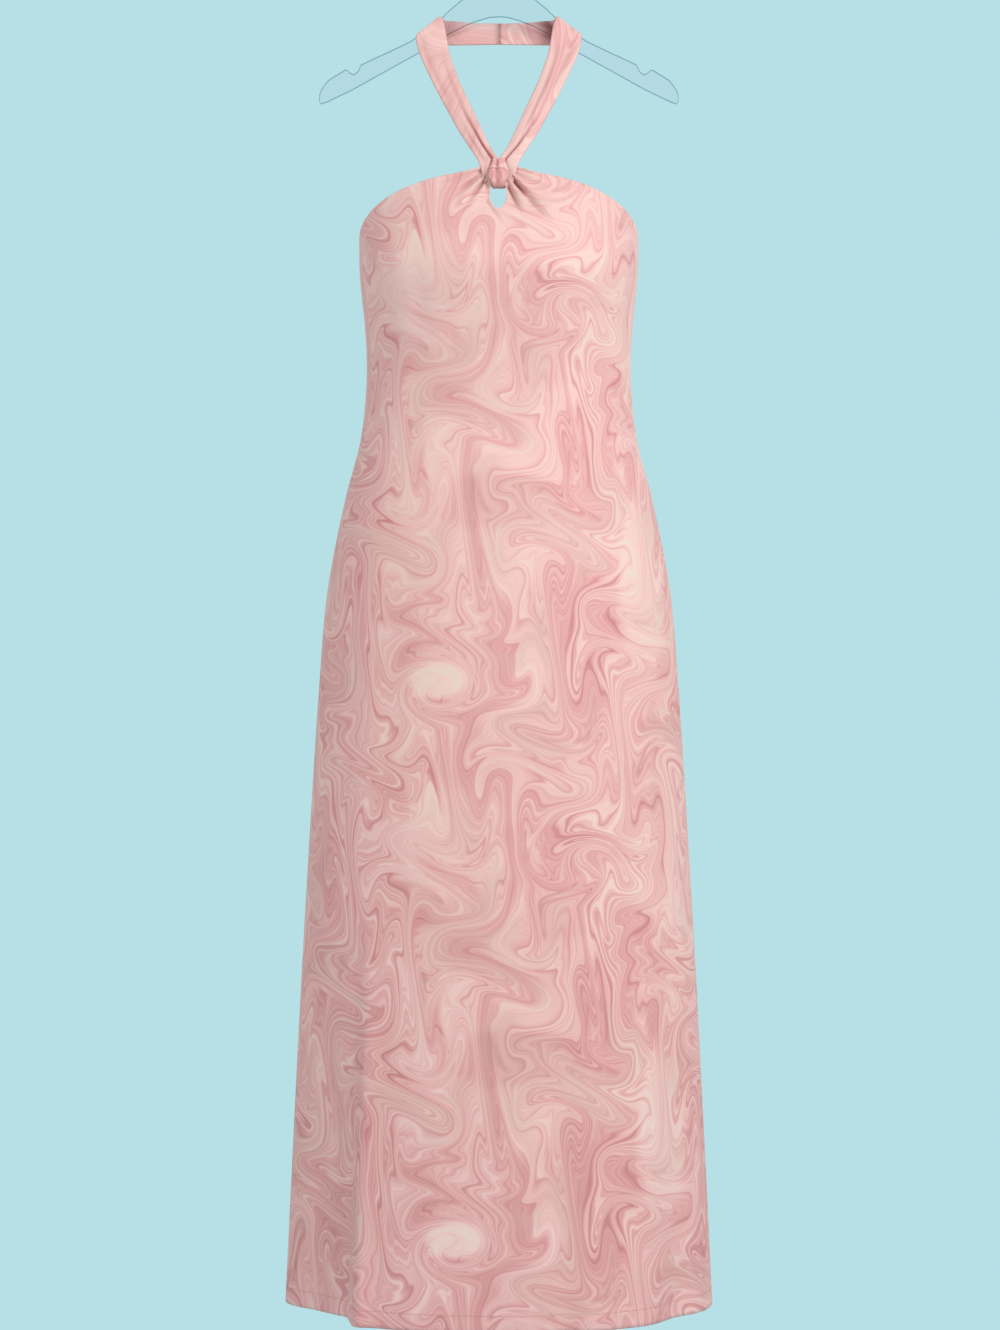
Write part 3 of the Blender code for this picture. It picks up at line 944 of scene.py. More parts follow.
@dataclass(frozen=True)
class ClothFinish:
    """How one piece of cloth looks: its part of the print, how pale it is, its painted shade and light, and
    how rough.
    """

    name: str
    shift_across: float = 0.0
    shift_along: float = 0.0
    turn: float = 0.0
    paler: float = 0.0
    faded: float = 0.0
    softened: float = 0.0
    stretch: float = 1.0
    # Painted light: a slope that makes the print paler up the cloth and darker towards its lower end, as the
    # light falls off down it.
    fade_along: float = 0.0
    fade_middle: float = -0.85
    roughness: float = 0.72
    weave_roughness: float = 0.08
    sheen: float = 0.12
    sheen_roughness: float = 0.45
    specular: float = 0.28
    bump_strength: float = 0.35
    bump_height: float = 0.00012
    wrinkle: float = 1.0
    faded_colour: Triple = (238, 214, 206)
    softened_colour: Triple = (237, 192, 188)
    # Painted shade between the threads.
    weave_colour: Triple = (205, 150, 148)
    weave_share: float = 0.05
    # The colour that painted shade in the folds darkens towards.
    fold_colour: Triple = (158, 92, 92)

    def material(self, shaders: ClothShaders) -> Material:
        """Makes the material.

        Args:
            shaders: the shared shader groups.

        Returns:
            The cloth material.
        """
        made, graph, shader = start_material(self.name)
        flat = graph.node("UVMap", uv_map=CLOTH_UV).outputs[0]
        turn = (0.0, 0.0, math.radians(self.turn))
        shift = (self.shift_across, self.shift_along, 0.0)
        moved = graph.node("Mapping", flat, shift, turn, (1.0, self.stretch, 1.0)).outputs[0]
        # Painted light: the cloth grows paler up its length and darker towards its lower end.
        middle = self.paler - self.fade_middle * self.fade_along
        paler = graph.math("MULTIPLY_ADD", graph.parts(flat)[1], self.fade_along, middle)
        weave = graph.place_group(shaders.weave_group, Place=flat, Wrinkle=self.wrinkle)
        colour = graph.place_group(shaders.print_group, Place=moved, Paler=paler)[0]
        for share, tint in (
            (self.faded, self.faded_colour),
            (self.softened, self.softened_colour),
            # Painted shade between the threads.
            (graph.math("MULTIPLY", weave["Mask"], self.weave_share), self.weave_colour),
            # Painted shade in the folds, read from the mesh.
            (graph.node("Attribute", attribute_name=FOLD_SHADE_ATTRIBUTE).outputs["Fac"], self.fold_colour),
        ):
            colour = graph.mix(share, colour, linear(*tint))
        relief = {"Strength": self.bump_strength, "Distance": self.bump_height, "Height": weave["Height"]}
        graph.fill(shader, {
            "Base Color": colour,
            "Roughness": graph.math("MULTIPLY_ADD", weave["Mask"], self.weave_roughness, self.roughness),
            "Normal": graph.node("Bump", inputs=relief).outputs[0],
            "Sheen Weight": self.sheen,
            "Sheen Roughness": self.sheen_roughness,
            "Specular IOR Level": self.specular,
        })
        return made


@dataclass(frozen=True)
class ThreadFinish:
    """Sewing thread: a plain colour with its twist."""

    name: str = "rose_thread"
    colour: Triple = (222, 166, 164)
    dark_share: float = 0.86
    twist_scale: float = 2600.0
    bump_height: float = 0.00005
    roughness: float = 0.55

    def material(self) -> Material:
        """Makes the thread's material, with a fine twist across it.

        Returns:
            The thread's material.
        """
        made, graph, shader = start_material(self.name)
        twist = graph.noise(graph.node("TexCoord").outputs["Object"], self.twist_scale, 1.0).outputs[0]
        dark = linear(*(self.dark_share * channel for channel in self.colour))
        bump = graph.node("Bump", inputs={"Distance": self.bump_height, "Height": twist}).outputs[0]
        colour = graph.mix(twist, linear(*self.colour), dark)
        graph.fill(shader, {"Base Color": colour, "Roughness": self.roughness, "Normal": bump})
        return made


@dataclass(frozen=True)
class ClearPlasticFinish:
    """Clear moulded plastic: faintly blue, with fine scuffs, and a painted darker, less clear rim in place of
    the light that its cut edges bend.

    Its IOR of 1 keeps the thin plate from bending or mirroring anything, as in the photograph.
    """

    name: str = "clear_moulded_plastic"
    face: Triple = (231, 222, 234)
    # The edge colour and alpha are a painted dark rim, in place of the light that the cut edges bend.
    edge: Triple = (96, 128, 150)
    face_alpha: float = 0.20
    edge_alpha: float = 0.85
    face_from: float = 0.95
    edge_from: float = 0.55
    roughness: float = 0.04
    scuff_roughness: float = 0.05
    scuff_scale: float = 90.0

    def material(self) -> Material:
        """Makes the material.

        Returns:
            The plastic's material.
        """
        made, graph, shader = start_material(self.name)
        where = graph.node("TexCoord").outputs
        # Painted dark rim: faces seen edge on take the deeper, less clear colour.
        facing = graph.math("ABSOLUTE", graph.parts(where["Normal"])[1])
        edge = graph.fade(facing, self.face_from, self.edge_from, "LINEAR")
        span = self.edge_alpha - self.face_alpha
        scuff = graph.noise(where["Object"], self.scuff_scale, 4.0, 0.6).outputs[0]
        graph.fill(shader, {
            "Base Color": graph.mix(edge, linear(*self.face), linear(*self.edge)),
            "Alpha": graph.math("MULTIPLY_ADD", edge, span, self.face_alpha),
            "Roughness": graph.math("MULTIPLY_ADD", scuff, self.scuff_roughness, self.roughness),
            "Transmission Weight": 1.0,
            "IOR": 1.0,
        })
        return made


@dataclass(frozen=True)
class BrightWireFinish:
    """Bright plated wire with faint drawing lines along it."""

    name: str = "bright_plated_wire"
    colour: Triple = (214, 216, 219)
    worn_share: float = 0.86
    worn_scale: float = 240.0
    worn_roughness: float = 0.16
    roughness: float = 0.12

    def material(self) -> Material:
        """Makes the material.

        Returns:
            The wire's material.
        """
        made, graph, shader = start_material(self.name)
        worn = graph.noise(graph.node("TexCoord").outputs["Object"], self.worn_scale, 3.0).outputs[0]
        dark = linear(*(self.worn_share * channel for channel in self.colour))
        graph.fill(shader, {
            "Base Color": graph.mix(worn, linear(*self.colour), dark),
            "Roughness": graph.math("MULTIPLY_ADD", worn, self.worn_roughness, self.roughness),
            "Metallic": 1.0,
        })
        return made


class StitchRing(NamedTuple):
    """One ring of a stitch: its share of the length, its size and its lift in thread radii."""

    share: float
    size: float
    lift: float


@dataclass
class Stitches:
    """A row of machine stitches that lies on the cloth."""

    pitch: float = 0.0030
    length: float = 0.0024
    radius: float = 0.00028
    sides: int = 6
    rings: tuple[StitchRing, ...] = table(
        StitchRing,
        (-0.5, 0.35, -0.5),
        (-0.36, 0.9, 0.35),
        (0.0, 1.0, 0.8),
        (0.36, 0.9, 0.35),
        (0.5, 0.35, -0.5),
    )

    def build(self, name: str, path: Sequence[Vector], outward: Sequence[Vector]) -> Object:
        """Builds one mesh with all the stitches of a row.

        Args:
            name: the object's name.
            path: points along the row.
            outward: the cloth's outward direction at each point.

        Returns:
            The stitches' object.
        """
        lengths = list(accumulate(((b - a).length for a, b in zip(path, path[1:])), initial=0.0))
        mesh = bmesh.new()
        index = 0
        for number in range(int(lengths[-1] / self.pitch)):
            middle = (number + 0.5) * self.pitch
            while index < len(lengths) - 2 and lengths[index + 1] < middle:
                index += 1
            share = (middle - lengths[index]) / max(lengths[index + 1] - lengths[index], TINY)
            along = (path[index + 1] - path[index]).normalized()
            up = outward[index].lerp(outward[index + 1], share).normalized()
            self.add_stitch(mesh, path[index].lerp(path[index + 1], share), along, up)
        stitches = mesh_object(name, mesh)
        stitches.data.shade_smooth()
        return stitches

    def add_stitch(self, mesh: bmesh.types.BMesh, centre: Vector, along: Vector, up: Vector) -> None:
        """Adds one stitch: a short arched thread whose ends dip into the cloth.

        Args:
            mesh: the mesh to add it to.
            centre: its middle.
            along: its direction.
            up: the cloth's outward direction.
        """
        across = along.cross(up).normalized()
        rings = []
        for row in self.rings:
            middle = centre + along * (row.share * self.length) + up * (row.lift * self.radius)
            angles = [2 * math.pi * side / self.sides for side in range(self.sides)]
            offsets = [across * math.cos(angle) + up * math.sin(angle) for angle in angles]
            rings.append([mesh.verts.new(middle + offset * (row.size * self.radius)) for offset in offsets])
        for lower, upper in zip(rings, rings[1:]):
            for side in range(self.sides):
                after = (side + 1) % self.sides
                mesh.faces.new((lower[side], lower[after], upper[after], upper[side]))
        mesh.faces.new(list(reversed(rings[0])))
        mesh.faces.new(rings[-1])


@dataclass
class DressBody:
    """The front and back panels of the dress, sewn at the sides into one tube."""

    cloth: float = 0.0015
    seam_gap: float = 0.0003
    seam_allowance: tuple[float, ...] = (0.0012, 0.0040, 0.0085)
    seam_lean: float = 0.12
    seam_calm_angle: float = 12.0
    hem_drop: float = 1.4248
    side_top_drop: float = 0.3276
    neck_fall: float = 0.0612
    neck_rise: float = 0.0085
    neck_rise_reach: float = 0.0235
    edge_calm: float = 0.0050
    edge_calm_start: float = 0.1
    loop_face_half_width: float = 0.0108
    gather_centre_drop: float = 0.2598
    gather_rise_reach: float = 0.0130
    gather_calm: float = 0.30
    gather_limit: float = 0.1
    gather_squeeze: float = 0.3
    gather_squeeze_reach: float = 0.050
    crease_limit_drop: float = 0.34
    crease_foot: float = 0.8
    crease_lead: float = 0.006
    crease_end_share: float = 1.2
    crease_calm_share: float = 0.55
    crease_calm_reach: float = 0.004
    crease_free_drop: float = 0.284
    crease_free_reach: float = 0.006
    trough_limit: float = 2.5
    # Painted shade: how dark the front's creases and sunk gathers are painted.
    fold_tint: float = 0.55
    fold_gather_share: float = 0.35
    fold_full: float = 0.0042
    fold_power: float = 1.3
    fall_back_angle: float = -42.0
    fall_back_step: float = 4.0
    fall_back_slope: float = 20.0
    fall_back_step_share: float = 0.29
    fall_back_slope_share: float = 0.16
    fall_back_top_drop: float = 0.98
    turned_edge: float = 0.0052
    turned_edge_height: float = 0.00045
    turned_edge_fade: float = 0.0016
    hem_depth: float = 0.0180
    hem_height_share: float = 0.8
    hem_fade: float = 0.0022
    hem_stitch_down: float = 0.0012
    hem_groove: float = 0.0003
    hem_groove_width: float = 0.0016
    hem_rows: tuple[float, ...] = (
        0.0235, 0.0212, 0.0198, 0.0185, 0.0172, 0.0158, 0.0120, 0.0080, 0.0040, 0.0)
    hem_rows_start: float = 0.024
    row_spacing: float = 0.0060
    last_columns: tuple[float, ...] = (88.2, 89.4, 90.0)
    stitch_angle: float = 89.0
    stitch_steps: int = 360
    keyhole_centre_x: float = -0.0006
    keyhole_half_width: float = 0.0082
    keyhole_squareness: float = 6.0
    keyhole_top_drop: float = 0.2820
    keyhole_base_drop: float = 0.3064
    keyhole_taper: float = 0.10
    keyhole_sides: int = 56
    keyhole_length: float = 0.04
    knots: dict[str, list[float]] = field(init=False)

    def __post_init__(self) -> None:
        """Reads the section table into columns."""
        self.knots = {name: [getattr(row, name) for row in SECTIONS] for name in Section._fields[1:]}

    def section(self, column: str, drop: float) -> float:
        """One column of the section table at any height."""
        return smooth_value(self.knots["drop"], self.knots[column], drop)

    def neckline_drop(self, angle: float) -> float:
        """The front's top edge: highest beside the loop and falling to the underarms."""
        rise = self.neck_rise * bell(math.sin(angle) * SECTIONS[0].half_width, self.neck_rise_reach)
        return self.side_top_drop - self.neck_fall * math.cos(angle) - rise

    def gather_height(self, x: float, drop: float) -> float:
        """How far the gathers lift the cloth, or sink it, near the loop.

        Args:
            x: the place across.
            drop: the place down.

        Returns:
            The height, outward.
        """
        down = drop - self.gather_centre_drop
        distance = math.hypot(x, down)
        if distance > self.gather_limit:
            return 0.0
        heading = math.degrees(math.atan2(x, max(down, TINY)))
        height = 0.0
        for gather in GATHERS:
            fade = smooth_step(1.0 - distance / gather.reach)
            height += gather.height * bell(heading - gather.heading, gather.spread) * fade
        grow = smooth_step(distance / self.gather_rise_reach)
        inside = smooth_step((abs(x) - self.loop_face_half_width) / self.gather_rise_reach)
        return height * grow * (self.gather_calm + (1.0 - self.gather_calm) * inside)

    def crease_height(self, x: float, drop: float, below_top: float) -> float:
        """How far the narrow creases sink the cloth beside the loop.

        Args:
            x: the place across.
            drop: the place down.
            below_top: the distance down from the top edge.

        Returns:
            The height, negative in a crease.
        """
        if abs(x) > self.gather_limit or drop > self.crease_limit_drop:
            return 0.0
        height = 0.0
        for crease in CREASES:
            run_x = crease.end_x - crease.start_x
            run_down = crease.end_drop - crease.start_drop
            length = math.hypot(run_x, run_down)
            along = ((x - crease.start_x) * run_x + (drop - crease.start_drop) * run_down) / length
            off = ((x - crease.start_x) * run_down - (drop - crease.start_drop) * run_x) / length
            fade = smooth_step(self.crease_end_share - along / length)
            fade *= smooth_step(1.0 + along / self.crease_lead)
            height -= crease.depth * fold_line(off, crease.width * self.crease_foot) * fade
        inside = (abs(x) - self.crease_calm_share * self.loop_face_half_width) / self.crease_calm_reach
        free = (drop - self.crease_free_drop) / self.crease_free_reach
        height *= smooth_step(max(inside, free))
        return height * smooth_step(self.edge_calm_start + below_top / self.edge_calm)

    def trough_height(self, panel: Panel, across: float, drop: float) -> float:
        """How far the broad shallow troughs move the cloth at one place.

        Args:
            panel: which panel.
            across: the place across.
            drop: the place down.

        Returns:
            The height, outward.
        """
        height = 0.0
        for trough in SOFT_TROUGHS[panel]:
            lean = math.radians(trough.lean)
            side = across - trough.across
            down = drop - trough.drop
            off = side * math.cos(lean) + down * math.sin(lean)
            along = down * math.cos(lean) - side * math.sin(lean)
            if abs(along) < self.trough_limit * trough.half_length:
                height += trough.height * bell(off, trough.half_width) * bell(along, trough.half_length)
        return height

    def skirt_height(self, panel: Panel, degrees: float, drop: float) -> float:
        """How far the soft folds of the skirt lift the cloth at one place.

        Args:
            panel: which panel.
            degrees: the angle from its centre line.
            drop: the place down.

        Returns:
            The height, outward.
        """
        height = 0.0
        for fold in SKIRT_FOLDS[panel]:
            grow = smooth_step((drop - fold.top_drop) / (self.hem_drop - fold.top_drop))
            height += fold.height * bell(degrees - fold.angle, fold.spread) * grow
        return height

    def fall_back_share(self, degrees: float, drop: float) -> float:
        """The share of the depth that the front's left side loses behind its soft edge.

        Args:
            degrees: the angle from the centre line.
            drop: the place down.

        Returns:
            The share.
        """
        past = self.fall_back_angle - degrees
        share = self.fall_back_step_share * smooth_step(0.5 + past / self.fall_back_step)
        share += self.fall_back_slope_share * smooth_step(past / self.fall_back_slope)
        below = (drop - self.fall_back_top_drop) / (self.hem_drop - self.fall_back_top_drop)
        return share * smooth_step(below)

    def edge_height(self, below_top: float, above_hem: float) -> float:
        """The small step of the turned edges at the top and the hem.

        Args:
            below_top: the distance down from the top edge.
            above_hem: the distance up from the hem.

        Returns:
            The height, outward.
        """
        top = 1.0 - smooth_step((below_top - self.turned_edge) / self.turned_edge_fade)
        hem = 1.0 - smooth_step((above_hem - self.hem_depth) / self.hem_fade)
        groove = bell(above_hem - self.hem_depth + self.hem_stitch_down, self.hem_groove_width)
        return self.turned_edge_height * (top + self.hem_height_share * hem) - self.hem_groove * groove

    def place(
        self, panel: Panel, angle: float, drop: float, below_top: float
    ) -> tuple[Vector, Vector, float]:
        """One place on a panel's outer face.

        Args:
            panel: which panel.
            angle: radians from its centre line, positive right.
            drop: the place down.
            below_top: the distance down from the top edge.

        Returns:
            The point, the same place without any folds, and the painted shade that darkens it in the creases
            and sunk gathers.
        """
        front = panel is Panel.FRONT
        across = math.sin(angle)
        degrees = math.degrees(angle)
        half_width = self.section("half_width", drop)
        depth = self.section(f"{panel.label}_depth", drop)
        power = self.section("squareness", drop) if front else 2.0
        forward = max(1.0 - abs(across) ** power, 0.0) ** (1.0 / power)
        if front:
            forward *= 1.0 - self.fall_back_share(degrees, drop)
        plain = Vector((across * half_width, panel.value * (forward * depth + self.seam_gap / 2), -drop))
        outward = Vector((across / half_width, panel.value * forward / depth, 0.0)).normalized()
        height = self.trough_height(panel, plain.x, drop) + self.skirt_height(panel, degrees, drop)
        height += self.edge_height(below_top, self.hem_drop - drop)
        height *= smooth_step((90.0 - abs(degrees)) / self.seam_calm_angle)
        sunk = 0.0
        if front:
            gather = self.gather_height(plain.x, drop)
            crease = self.crease_height(plain.x, drop, below_top)
            height += gather + crease
            # Painted shade, darkest where the creases and gathers sink the cloth.
            sunk = -crease - self.fold_gather_share * min(gather, 0.0)
        fold = self.fold_tint * min(max(sunk / self.fold_full, 0.0), 1.0) ** self.fold_power
        return plain + outward * height, plain, fold

    def lay_out(self, panel: Panel, drops: Sequence[Sequence[float]], angles: Sequence[float]) -> Sheet:
        """Samples a panel and lays it out flat, with its seam allowances turned in.

        Args:
            panel: which panel.
            drops: each row's drop at each angle.
            angles: the columns' angles in radians.

        Returns:
            The panel's sheet.
        """
        sheet = Sheet()
        middle = min(range(len(angles)), key=lambda index: abs(angles[index]))
        turned = [0.0] * len(self.seam_allowance)
        for row in drops:
            placed = [
                self.place(panel, angle, drop, drop - top) for angle, drop, top in zip(angles, row, drops[0])
            ]
            points, plain, folds = zip(*placed)
            spans = (math.hypot(b.x - a.x, b.y - a.y) for a, b in zip(plain, plain[1:]))
            lengths = list(accumulate(spans, initial=0.0))
            flat = [(length - lengths[middle], -drop) for length, drop in zip(lengths, row)]
            ends = []
            for sign, point, (across, along) in ((1.0, points[0], flat[0]), (-1.0, points[-1], flat[-1])):
                shifts = [(sign * depth, self.seam_lean * depth, 0.0) for depth in self.seam_allowance]
                turned_in = [point + Vector(shift) for shift in shifts]
                ends.append((turned_in, [(across - shift[0], along) for shift in shifts]))
            (left, flat_left), (right, flat_right) = ends
            sheet.add_row([*left[::-1], *points, *right], [*flat_left[::-1], *flat, *flat_right],
                          [*turned, *folds, *turned])
        return sheet

    def squeeze(self, places: list[list[Pair]]) -> None:
        """Packs the flat cloth closer beside the loop, where it is gathered.

        Args:
            places: the front's places on the flat cloth, which are changed.
        """
        for row in places:
            for index, (across, along) in enumerate(row):
                distance = math.hypot(across, along + self.gather_centre_drop)
                grow = 1.0 + self.gather_squeeze * bell(distance, self.gather_squeeze_reach)
                row[index] = (across * grow, along)

    def angles(self, panel: Panel) -> list[float]:
        """A panel's columns in radians: closest round the front's gathers."""
        right = [*spaced(PANEL_COLUMNS[panel])[1:], *self.last_columns]
        return [math.radians(value) for value in [*(-v for v in reversed(right)), 0.0, *right]]

    def shares(self, length: float) -> list[float]:
        """The rows as shares of a panel's length: close at the top edge, the gathers and the hem."""
        bands = (*TOP_ROWS, Band(length - self.hem_rows_start, self.row_spacing))
        return [place / length for place in [*spaced(bands)[:-1], *(length - up for up in self.hem_rows)]]

    def build_panel(self, panel: Panel, finishes: Sequence[Material]) -> Object:
        """Builds a panel. The front is gathered at its neckline, with the keyhole cut through.

        Args:
            panel: which panel.
            finishes: the right side's material, then the wrong side's.

        Returns:
            The panel's object.
        """
        angles = self.angles(panel)
        tops = [self.neckline_drop(angle) for angle in angles]
        if panel is Panel.BACK:
            tops = [self.side_top_drop] * len(angles)
        shares = self.shares(self.hem_drop - min(tops))
        rows = [[top + (self.hem_drop - top) * share for top in tops] for share in shares]
        sheet = self.lay_out(panel, rows, angles)
        if panel is Panel.FRONT:
            self.squeeze(sheet.places)
        thing = sheet.build(f"{panel.label}_cloth_panel", flip=panel is Panel.BACK)
        for finish in finishes:
            thing.data.materials.append(finish)
        add_wall(thing, self.cloth)
        if panel is Panel.FRONT:
            self.cut_keyhole(thing)
        return thing

    def cut_keyhole(self, front: Object) -> None:
        """Cuts the keyhole through the front's wall, and turns its modifiers into its own mesh.

        Args:
            front: the front's object.
        """
        cutter = self.build_keyhole_cutter()
        cut = front.modifiers.new("keyhole", "BOOLEAN")
        cut.operation = "DIFFERENCE"
        cut.solver = "EXACT"
        cut.object = cutter
        graph = bpy.context.evaluated_depsgraph_get()
        mesh = bpy.data.meshes.new_from_object(front.evaluated_get(graph))
        front.modifiers.clear()
        front.data = mesh
        bpy.data.objects.remove(cutter)

    def build_keyhole_cutter(self) -> Object:
        """Makes a rod across the front's cloth, broad at its top and narrowing to its lower end.

        Returns:
            The rod's object.
        """
        half_height = (self.keyhole_base_drop - self.keyhole_top_drop) / 2
        middle = (self.keyhole_top_drop + self.keyhole_base_drop) / 2
        power = self.keyhole_squareness
        rod = bmesh.new()
        size = {"radius1": 1.0, "radius2": 1.0, "depth": self.keyhole_length}
        bmesh.ops.create_cone(rod, cap_ends=True, segments=self.keyhole_sides, **size)
        for vert in rod.verts:
            across, down, along = vert.co.x, -vert.co.y, vert.co.z
            if down > 0.0:
                across *= 1.0 - self.keyhole_taper * smooth_step(down)
            else:
                scale = (abs(across) ** power + abs(down) ** power) ** (-1.0 / power)
                across *= scale
                down *= scale
            vert.co = Vector((across * self.keyhole_half_width, along, -down * half_height))
        bmesh.ops.recalc_face_normals(rod, faces=rod.faces)
        cutter = mesh_object("keyhole_cutter", rod)
        cutter.location = (self.keyhole_centre_x, -self.section("front_depth", middle), -middle)
        return cutter

    def build_hem_stitches(self, panel: Panel) -> Object:
        """Builds the row of stitches that holds a panel's hem.

        Args:
            panel: which panel.

        Returns:
            The stitches.
        """
        drop = self.hem_drop - self.hem_depth + self.hem_stitch_down
        step = 2 * self.stitch_angle / self.stitch_steps
        degrees = [-self.stitch_angle + step * number for number in range(self.stitch_steps + 1)]
        path = [self.place(panel, math.radians(angle), drop, drop)[0] for angle in degrees]
        outward = []
        for index, point in enumerate(path):
            along = path[min(index + 1, len(path) - 1)] - path[max(index - 1, 0)]
            out = along.cross(Vector((0.0, 0.0, 1.0))).normalized()
            outward.append(out if out.xy.dot(point.xy) > 0 else -out)
        return Stitches().build(f"{panel.label}_hem_stitches", path, outward)

    def build(self, shaders: ClothShaders, thread: Material) -> None:
        """Builds and dresses both panels.

        Args:
            shaders: the shared shader groups.
            thread: the thread's material.
        """
        back = {"shift_across": 0.61, "shift_along": 0.19}
        looks = {
            Panel.FRONT: (ClothFinish("front_print", turn=-1.8, fade_along=0.075),
                          ClothFinish("front_wrong_side", turn=-1.8, faded=0.55)),
            Panel.BACK: (ClothFinish("back_print", **back),
                         ClothFinish("back_wrong_side", **back, faded=0.55)),
        }
        flats = {Panel.FRONT: ((0.591, 1.171), 0.571), Panel.BACK: ((0.575, 1.097), 0.540)}
        for panel, finishes in looks.items():
            thing = self.build_panel(panel, [finish.material(shaders) for finish in finishes])
            stitches = self.build_hem_stitches(panel)
            stitches.data.materials.append(thread)
            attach(stitches, "root")
            LOG.info("%s: %d faces", stitches.name, len(stitches.data.polygons))
            flat, area = flats[panel]
            hand_over(thing, f"{panel.label}_panel", f"{panel.label}_cloth", flat=flat, held="hung",
                      rests_on=["centre_loop_band"], area=area, with_pieces=[stitches])


@dataclass
class CentreLoop:
    """The short band wrapped round the gathered bridge at centre front."""

    drop: float = 0.2698
    depth: float = 0.0900
    lean: float = -14.9
    half_height: float = 0.0156
    half_depth: float = 0.0070
    top_half_width: float = 0.0064
    face_half_width: float = 0.0108
    base_half_width: float = 0.0060
    widest_share: float = 0.34
    wall: float = 0.0022
    squareness: float = 3.5
    flat_radius: float = 0.0135
    ripple: float = 0.0003
    ripple_rate: float = 9.0
    ripple_lean: float = 2.4
    sag: float = 0.0011
    sag_across: float = -0.24
    sag_width: float = 0.22
    # Painted shade in the loop's valley and along its edges, on its face only.
    valley_across: float = -0.22
    valley_width: float = 0.13
    edge_shade: float = 0.7
    edge_width: float = 0.10
    fold_tint: float = 0.5
    weld: float = 0.00002
    steps: int = 96
    columns: int = 40

    def half_width(self, share: float) -> float:
        """Reads the loop's half width, which is widest below the middle of its face.

        Args:
            share: the height, as a share of the loop's.

        Returns:
            The half width.
        """
        below = share < self.widest_share
        end = self.base_half_width if below else self.top_half_width
        grow = share / self.widest_share if below else (1.0 - share) / (1.0 - self.widest_share)
        return end + (self.face_half_width - end) * smooth_step(grow)

    def build_sheet(self) -> Sheet:
        """Samples the loop, once round, from its face's middle.

        Returns:
            The loop's sheet.
        """
        knots, bulges = zip(*LOOP_COLUMNS)
        power = self.squareness
        sheet = Sheet()
        for step in range(self.steps + 1):
            angle = 2 * math.pi * step / self.steps
            up = math.sin(angle)
            forward = math.cos(angle)
            scale = (abs(up) ** power + abs(forward) ** power) ** (-1.0 / power)
            height = up * scale
            forward *= scale
            half_width = self.half_width((height + 1.0) / 2.0)
            points: list[Vector] = []
            painted_shades: list[float] = []
            columns = [-1.0 + 2.0 * column / self.columns for column in range(self.columns + 1)]
            for across in columns:
                wave = math.sin(self.ripple_rate * across + self.ripple_lean * height)
                bulge = (smooth_value(knots, bulges, across) + self.ripple * wave) * abs(forward)
                # Painted shade in the valley left of the middle and along both edges, on the face only.
                painted_loop_shade = bell(across - self.valley_across, self.valley_width)
                painted_loop_shade += self.edge_shade * bell(abs(across) - 1.0, self.edge_width)
                painted_shades.append(self.fold_tint * min(painted_loop_shade, 1.0) * (forward > 0.0))
                sag = self.sag * bell(across - self.sag_across, self.sag_width) * max(up, 0.0)
                points.append(Vector((across * half_width, -forward * (self.half_depth + bulge),
                                      height * (self.half_height - sag))))
            flat = [(across * half_width, angle * self.flat_radius) for across in columns]
            sheet.add_row(points, flat, painted_shades)
        return sheet

    def build(self, shaders: ClothShaders) -> None:
        """Builds and dresses the loop.

        Args:
            shaders: the shared shader groups.
        """
        loop = self.build_sheet().build("centre_loop_band", flip=True)
        loop.modifiers.new("joined_ends", "WELD").merge_threshold = self.weld
        add_wall(loop, self.wall)
        loop.location = (0.0, -self.depth, -self.drop)
        loop.rotation_euler = (math.radians(self.lean), 0.0, 0.0)
        for finish in (
            ClothFinish("loop_print", shift_across=0.065, shift_along=-0.36, turn=8.0, paler=-0.04,
                        wrinkle=0.6),
            ClothFinish("loop_wrong_side", paler=0.02),
        ):
            loop.data.materials.append(finish.material(shaders))
        hand_over(loop, "centre_loop", "loop_cloth", flat=(0.0216, 0.0848), held="folded",
                  rests_on=["front_cloth_panel"], area=0.00129)


